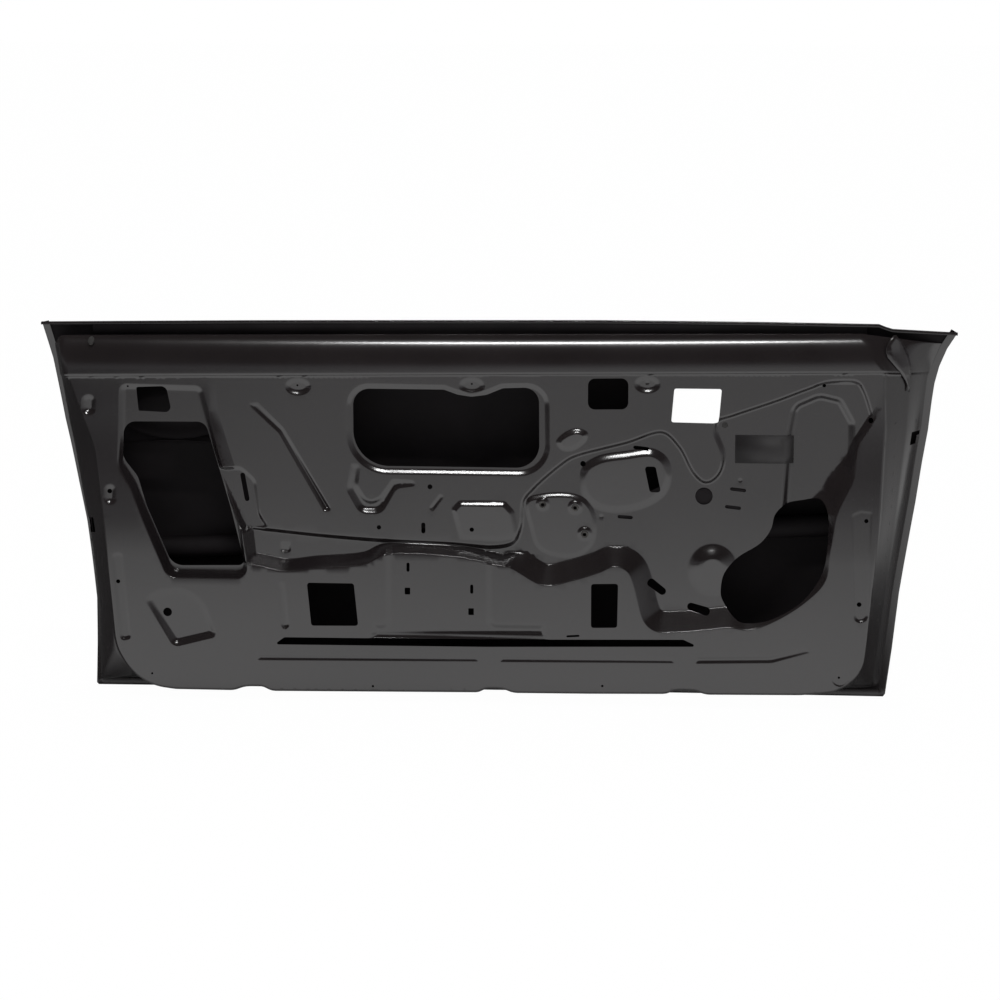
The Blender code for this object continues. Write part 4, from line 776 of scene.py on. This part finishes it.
def lay(rows, flip):
    """Adds a net of rows to the panel, open at the latch and check-strap mouths."""
    first = len(vertices)
    for row in rows:
        vertices.extend(map(tuple, row))
    for face in grid_faces(len(rows), len(rows[0])):
        face = tuple(first + i for i in face)
        middle = sum(np.array(vertices[i]) for i in face) / 4
        if any(np.all((middle > low) & (middle < high)) for low, high in MOUTHS):
            continue
        faces.append(face[::-1] if flip else face)


def on_face(line):
    """The line laid on the pressed face."""
    return np.column_stack([line[:, 0], panel_level(line), line[:, 1]])


belt[0] = on_face(top_line)
belt = [belt[0]] + eased_rows(belt[:5], 2)[1:-1] + belt[4:]
lay(belt, False)
creases = on_face(sides)
creases[:, 1] += ROLL
rear_end = np.array([row[0] for row in belt[1:-2]])[::-1]
front_end = np.array([row[-1] for row in belt[1:-2]])
lay(shut_rows(np.vstack([rear_end, creases, front_end])), True)
# Its hidden side, inside the cavity, takes the darker primer as painted shade.
inner_panel = thick_sheet("pressed_inner_panel", vertices, faces, PANEL_SHEET, (primer, painted_shade_primer),
                          face_normals)
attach(inner_panel, "root")
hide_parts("inner_panel")

# Outer skin. One 0.8 mm sheet with a slight bulge, a pressed scoop and two round holes for the
# handle, the mirror's aperture and a folded lip on top; its edge is hemmed over the inner panel.
HEM_RADIUS, HEM_WIDTH, HEM_STEP, SKIN_STEP = 1.6, 9.0, 8, 13.0
edge = hem_line(0.0, HEM_STEP)
top = even([tuple(edge[-1])] + TOP_EDGE + [tuple(edge[0])], 12)[1:-1]
rim = hem_line(HEM_RADIUS, HEM_STEP)
rim[0], rim[-1] = edge[0], edge[-1]
skin_border = np.vstack([rim, top])
skin_holes = [outline([(205, 508, 12), (372, 508, 12), (366, 404, 12), (199, 404, 12)], 3.0)]
skin_holes += [oval(x, 424, 13, 13, 2.0) for x in (-604, -385)]
scoop = [oval(-487, 420, 88 - inset, 46 - inset, 3.5) for inset in (0, 4, 8, 12, 16, 20, 24, 28)]
xs, zs = np.arange(-660, 660, SKIN_STEP), np.arange(6, 556, SKIN_STEP)
lattice = np.stack(np.meshgrid(xs, zs, indexing="ij"), axis=-1).reshape(-1, 2)
lattice = lattice[~within(lattice, scoop[0])]
net = np.vstack(scoop + [lattice])
clear = within(net, skin_border) & (to_line(net, skin_border) > 3)
for hole in skin_holes:
    clear &= ~within(net, hole) & (to_line(net, hole) > 2)
flat, triangles = meshed(skin_border, skin_holes, net[clear])
vertices = [(x, y, z) for (x, z), y in zip(flat, skin_y(flat))]
corner = [np.array(vertices[i]) for i in triangles[0]]
turned = np.cross(corner[1] - corner[0], corner[2] - corner[0])[1] < 0
faces = [tuple(int(i) for i in (t[::-1] if turned else t)) for t in triangles]


def lay_skin(rows):
    """Adds a net of rows to the skin."""
    first = len(vertices)
    for row in rows:
        vertices.extend(map(tuple, row))
    faces.extend(tuple(first + i for i in face) for face in grid_faces(len(rows), len(rows[0])))


hem = []
for turn in np.radians(np.arange(0, 181, 30)):
    line = hem_line(HEM_RADIUS - HEM_RADIUS * math.sin(turn), HEM_STEP) if turn else rim
    hem.append(np.column_stack([line[:, 0], skin_y(line) - HEM_RADIUS * (1 - math.cos(turn)), line[:, 1]]))
tuck = hem_line(HEM_RADIUS + HEM_WIDTH, HEM_STEP)
hem.append(np.column_stack([tuck[:, 0], skin_y(tuck) - 2 * HEM_RADIUS, tuck[:, 1]]))
lay_skin(hem)
lip = np.array([tuple(edge[-1])] + [tuple(p) for p in top] + [tuple(edge[0])])
steps = ((0, 0), (0.3, 0.5), (1.2, 0.8), (8.0, 0.8), (8.6, 0.5), (8.8, 0), (8.8, -3.0))
lay_skin([np.column_stack([lip[:, 0], skin_y(lip) - inward, lip[:, 1] + up]) for inward, up in steps])
# The skin's hidden side, inside the cavity, takes the darker primer as painted shade.
skin = thick_sheet("hemmed_outer_skin", vertices, faces, SKIN_SHEET, (primer, painted_shade_primer))
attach(skin, "root")
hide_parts("outer_skin")


# Reinforcements. Pressed 1.2 mm plates and strips spot-welded behind the belt, the latch, the
# hinges, the handle, the mirror and the regulator, with the edges of their blanks left rounded.
PLATES = ("inner_belt_reinforcement", "outer_belt_reinforcement", "latch_reinforcement",
          "hinge_reinforcement", "handle_reinforcement", "mirror_reinforcement", "regulator_reinforcement")
# The copies of these two are moved inwards, because the solids would come out through this panel.
PLATE_SHIFTS = {"latch_reinforcement": 2.2, "hinge_reinforcement": -2.6}
SHARP_ANGLE = 0.6


def dressed(part, title, finish, radius, steps=2, shift=0.0):
    """The CAD node's own shape with its edges rounded, set inwards by a shift along X in millimetres."""
    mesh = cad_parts[part].data.copy()
    mesh.name = title
    mesh.transform(Matrix.Translation((shift / 1000, 0, 0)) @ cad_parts[part].matrix_world)
    work = bmesh.new()
    work.from_mesh(mesh)
    bmesh.ops.remove_doubles(work, verts=work.verts, dist=MERGE_DISTANCE)
    bmesh.ops.dissolve_limit(work, angle_limit=0.01, verts=work.verts, edges=work.edges)
    sharp = [e for e in work.edges if len(e.link_faces) == 2 and e.calc_face_angle(0) > SHARP_ANGLE]
    bmesh.ops.bevel(work, geom=sharp, offset=radius / 1000, segments=steps, affect="EDGES",
                    clamp_overlap=True)
    bmesh.ops.triangulate(work, faces=[face for face in work.faces if len(face.verts) > 4])
    work.to_mesh(mesh)
    work.free()
    mesh.polygons.foreach_set("use_smooth", [True] * len(mesh.polygons))
    mesh.set_sharp_from_angle(angle=SHARP_ANGLE)
    mesh.materials.clear()
    mesh.materials.append(finish)
    piece = bpy.data.objects.new(title, mesh)
    scene.collection.objects.link(piece)
    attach(piece, "root")
    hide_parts(part)
    return piece


# The plates are drawn in the darker primer as painted shade, because they lie inside the cavity.
for part in PLATES:
    plate = dressed(part, f"welded_{part}", painted_shade_primer, 0.3, shift=PLATE_SHIFTS.get(part, 0.0))

# Side impact beam. A drawn steel tube across the cavity, primed with the shell, in two saddle
# brackets welded to its ends.
# The beam and its brackets are drawn in the darker primer as painted shade, because they lie inside the
# cavity.
for part in ("side_impact_beam", "beam_rear_bracket", "beam_front_bracket"):
    dressed(part, f"primed_{part}", painted_shade_primer, 0.3)

# Mastic pads. Four soft pads of expanding mastic between the beam and the skin, dabbed on by
# hand, so their sides bulge and their surface is pitted.
mastic, shader, place = coating("soft_mastic")
pits = noise(place, 260.0, 3.0)
pits.between(0.3, 0.7).blend((0.014, 0.013, 0.012, 1), (0.028, 0.026, 0.024, 1)).into(shader, "Base Color")
(0.62 + pits * 0.3).into(shader, "Roughness")
pits.bump(0.7, 0.0006).into(shader, "Normal")
for number in (1, 2, 3, 4):
    dressed(f"beam_mastic_pad_{number}", f"dabbed_mastic_pad_{number}", mastic, 1.6, 4)

# Nut plates and weld nuts. Plain bevelled blocks behind the hinges and three hexagon nuts behind
# the motor bosses, of zinc-plated steel, welded on and without threads.
plating, shader, place = coating("zinc_plating")
shader.inputs["Metallic"].default_value = 0.9
grain = noise(place, 180.0, 4.0)
grain.between(0.3, 0.7).blend((0.055, 0.052, 0.050, 1), (0.12, 0.115, 0.11, 1)).into(shader, "Base Color")
(0.42 + grain * 0.2).into(shader, "Roughness")
grain.bump(0.3, 0.0001).into(shader, "Normal")
for part in ("upper_hinge_nut_plate", "lower_hinge_nut_plate", "motor_weld_nut_1", "motor_weld_nut_2",
             "motor_weld_nut_3"):
    dressed(part, f"plated_{part}", plating, 0.5, 3)

# Front corner gusset. A leaf-shaped sheet that ties the front end of the belt roll to the shut
# face, pressed with a rounded edge, spot-welded and primed with the shell.
dressed("front_corner_gusset", "leaf_gusset", primer, 0.4, 3)

# Cable patch. A strip of woven cloth tape stuck over a wall of the regulator field, with its
# threads showing and its ends cut square.
cloth, shader, place = coating("woven_tape")
across = Wire.make(place.tree, "ShaderNodeSeparateXYZ", sockets={0: place})
threads = [Wire.make(place.tree, "ShaderNodeTexWave", {"bands_direction": way},
                     {"Vector": place, "Scale": 180.0, "Distortion": 0.4}, 1) for way in ("X", "Z")]
weave = threads[0] * threads[1]
# Darker over the tape's rear part and lighter over its front part, with random patches.
lighter_frontwards = (across * 1000.0).between(345.0, 440.0) + noise(place, 60.0) * 0.3 - 0.15
lighter_frontwards.blend((0.009, 0.0075, 0.008, 1), (0.022, 0.020, 0.020, 1)).into(shader, "Base Color")
(0.55 + weave * 0.2).into(shader, "Roughness")
weave.bump(0.4, 0.00012).into(shader, "Normal")
dressed("cable_patch", "cloth_cable_patch", cloth, 0.2)

# Blind plugs. Soft black plugs pressed into the hole beside the regulator field and into the one
# at the rear end of the belt roll, each a thin domed head with a raised rim.
PLUG_SIDES = 28
PLUG_PROFILE = ((0.0, 0.1), (0.55, 0.05), (0.72, 0.0), (0.80, 0.5), (0.92, 0.7), (1.0, 0.35), (1.0, -0.6))


def plug(title, centre, facing, radius, stretch=1.0):
    """A plug's head, facing a way and stretched along its own X."""
    turns = np.arange(PLUG_SIDES) * math.tau / PLUG_SIDES
    points = [(radius * r * math.cos(t) * stretch, radius * r * math.sin(t), h)
              for r, h in PLUG_PROFILE for t in turns]
    ring = [(r * PLUG_SIDES + i, r * PLUG_SIDES + (i + 1) % PLUG_SIDES,
             (r + 1) * PLUG_SIDES + (i + 1) % PLUG_SIDES, (r + 1) * PLUG_SIDES + i)
            for r in range(len(PLUG_PROFILE) - 1) for i in range(PLUG_SIDES)]
    turn = Vector(facing).to_track_quat("Z", "X").to_matrix()
    mesh = bpy.data.meshes.new(title)
    mesh.from_pydata([metres(*(Vector(centre) + turn @ Vector(p))) for p in points], [],
                     [face[::-1] for face in ring])
    work = bmesh.new()
    work.from_mesh(mesh)
    bmesh.ops.remove_doubles(work, verts=work.verts, dist=0.00001)
    bmesh.ops.recalc_face_normals(work, faces=work.faces)
    work.to_mesh(mesh)
    work.free()
    mesh.polygons.foreach_set("use_smooth", [True] * len(mesh.polygons))
    mesh.materials.append(mastic)
    piece = bpy.data.objects.new(title, mesh)
    scene.collection.objects.link(piece)
    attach(piece, "root")


side_level = float(panel_level(np.array([(324.0, 413.0)]))[0])
plug("regulator_side_plug", (324, side_level, 413), (0, -1, 0), 4.2)
plug("belt_end_plug", (-597, 3.6, 526), (0, -0.72, 0.69), 4.6, 1.7)

# Spot welds. Shallow round nuggets, 5 mm across, left by the welding tongs on both shut faces
# where the latch and hinge plates are welded behind them. Their places are a guess.
WELD_RADIUS, WELD_HEIGHT, WELD_SEED = 0.0025, 0.14, 7
surface = BVHTree.FromPolygons([v.co for v in inner_panel.data.vertices],
                               [p.vertices for p in inner_panel.data.polygons])
CAST_FROM = 760
casts = [(metres(-CAST_FROM, y, z), Vector((1, 0, 0))) for y in (2, 30) for z in range(70, 440, 26)]
casts += [(metres(CAST_FROM, y, z), Vector((-1, 0, 0))) for y in (14, 52) for z in range(80, 440, 24)]
hits = [surface.ray_cast(start, way) for start, way in casts]
hits = [(hit[0], hit[1]) for hit in hits if hit[0]]
seeds = bpy.data.meshes.new("weld_places")
seeds.from_pydata([place for place, _ in hits], [], [])
facing = seeds.attributes.new("facing", "FLOAT_VECTOR", "POINT")
facing.data.foreach_set("vector", [value for _, way in hits for value in way])
welds = bpy.data.objects.new("weld_places", seeds)
scene.collection.objects.link(welds)
group = bpy.data.node_groups.new("spot_welds", "GeometryNodeTree")
group.interface.new_socket("Geometry", in_out="INPUT", socket_type="NodeSocketGeometry")
size_in = group.interface.new_socket("Weld radius", in_out="INPUT", socket_type="NodeSocketFloat")
seed_in = group.interface.new_socket("Seed", in_out="INPUT", socket_type="NodeSocketInt")
group.interface.new_socket("Geometry", in_out="OUTPUT", socket_type="NodeSocketGeometry")
entry, leave = group.nodes.new("NodeGroupInput"), group.nodes.new("NodeGroupOutput")
starts = {socket.name: Wire(group, socket) for socket in entry.outputs}
dome = Wire.make(group, "GeometryNodeMeshUVSphere", sockets={"Segments": 20, "Rings": 10,
                                                            "Radius": starts["Weld radius"]})
flat_dome = Wire.make(group, "GeometryNodeTransform", sockets={0: dome, "Scale": (1, 1, WELD_HEIGHT)})
named = Wire.make(group, "GeometryNodeInputNamedAttribute", {"data_type": "FLOAT_VECTOR"}, {0: "facing"})
turned = Wire.make(group, "FunctionNodeAlignRotationToVector", {"axis": "Z"}, {"Vector": named})
spread = Wire.make(group, "FunctionNodeRandomValue", {"data_type": "FLOAT"},
                   {2: 0.82, 3: 1.12, "Seed": starts["Seed"]}, 1)
dots = Wire.make(group, "GeometryNodeMeshToPoints", sockets={0: starts["Geometry"]})
put = Wire.make(group, "GeometryNodeInstanceOnPoints", sockets={"Points": dots, "Instance": flat_dome,
                                                               "Rotation": turned, "Scale": spread})
real = Wire.make(group, "GeometryNodeRealizeInstances", sockets={0: put})
smooth = Wire.make(group, "GeometryNodeSetShadeSmooth", sockets={0: real})
painted = Wire.make(group, "GeometryNodeSetMaterial", sockets={0: smooth, "Material": primer})
group.links.new(painted.socket, leave.inputs[0])
maker = welds.modifiers.new("spot_welds", "NODES")
maker.node_group = group
maker[size_in.identifier] = WELD_RADIUS
maker[seed_in.identifier] = WELD_SEED
baked = bpy.data.meshes.new_from_object(welds.evaluated_get(bpy.context.evaluated_depsgraph_get()))
welds.modifiers.clear()
bpy.data.objects.remove(welds)
nuggets = bpy.data.objects.new("spot_weld_nuggets", baked)
scene.collection.objects.link(nuggets)
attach(nuggets, "root")
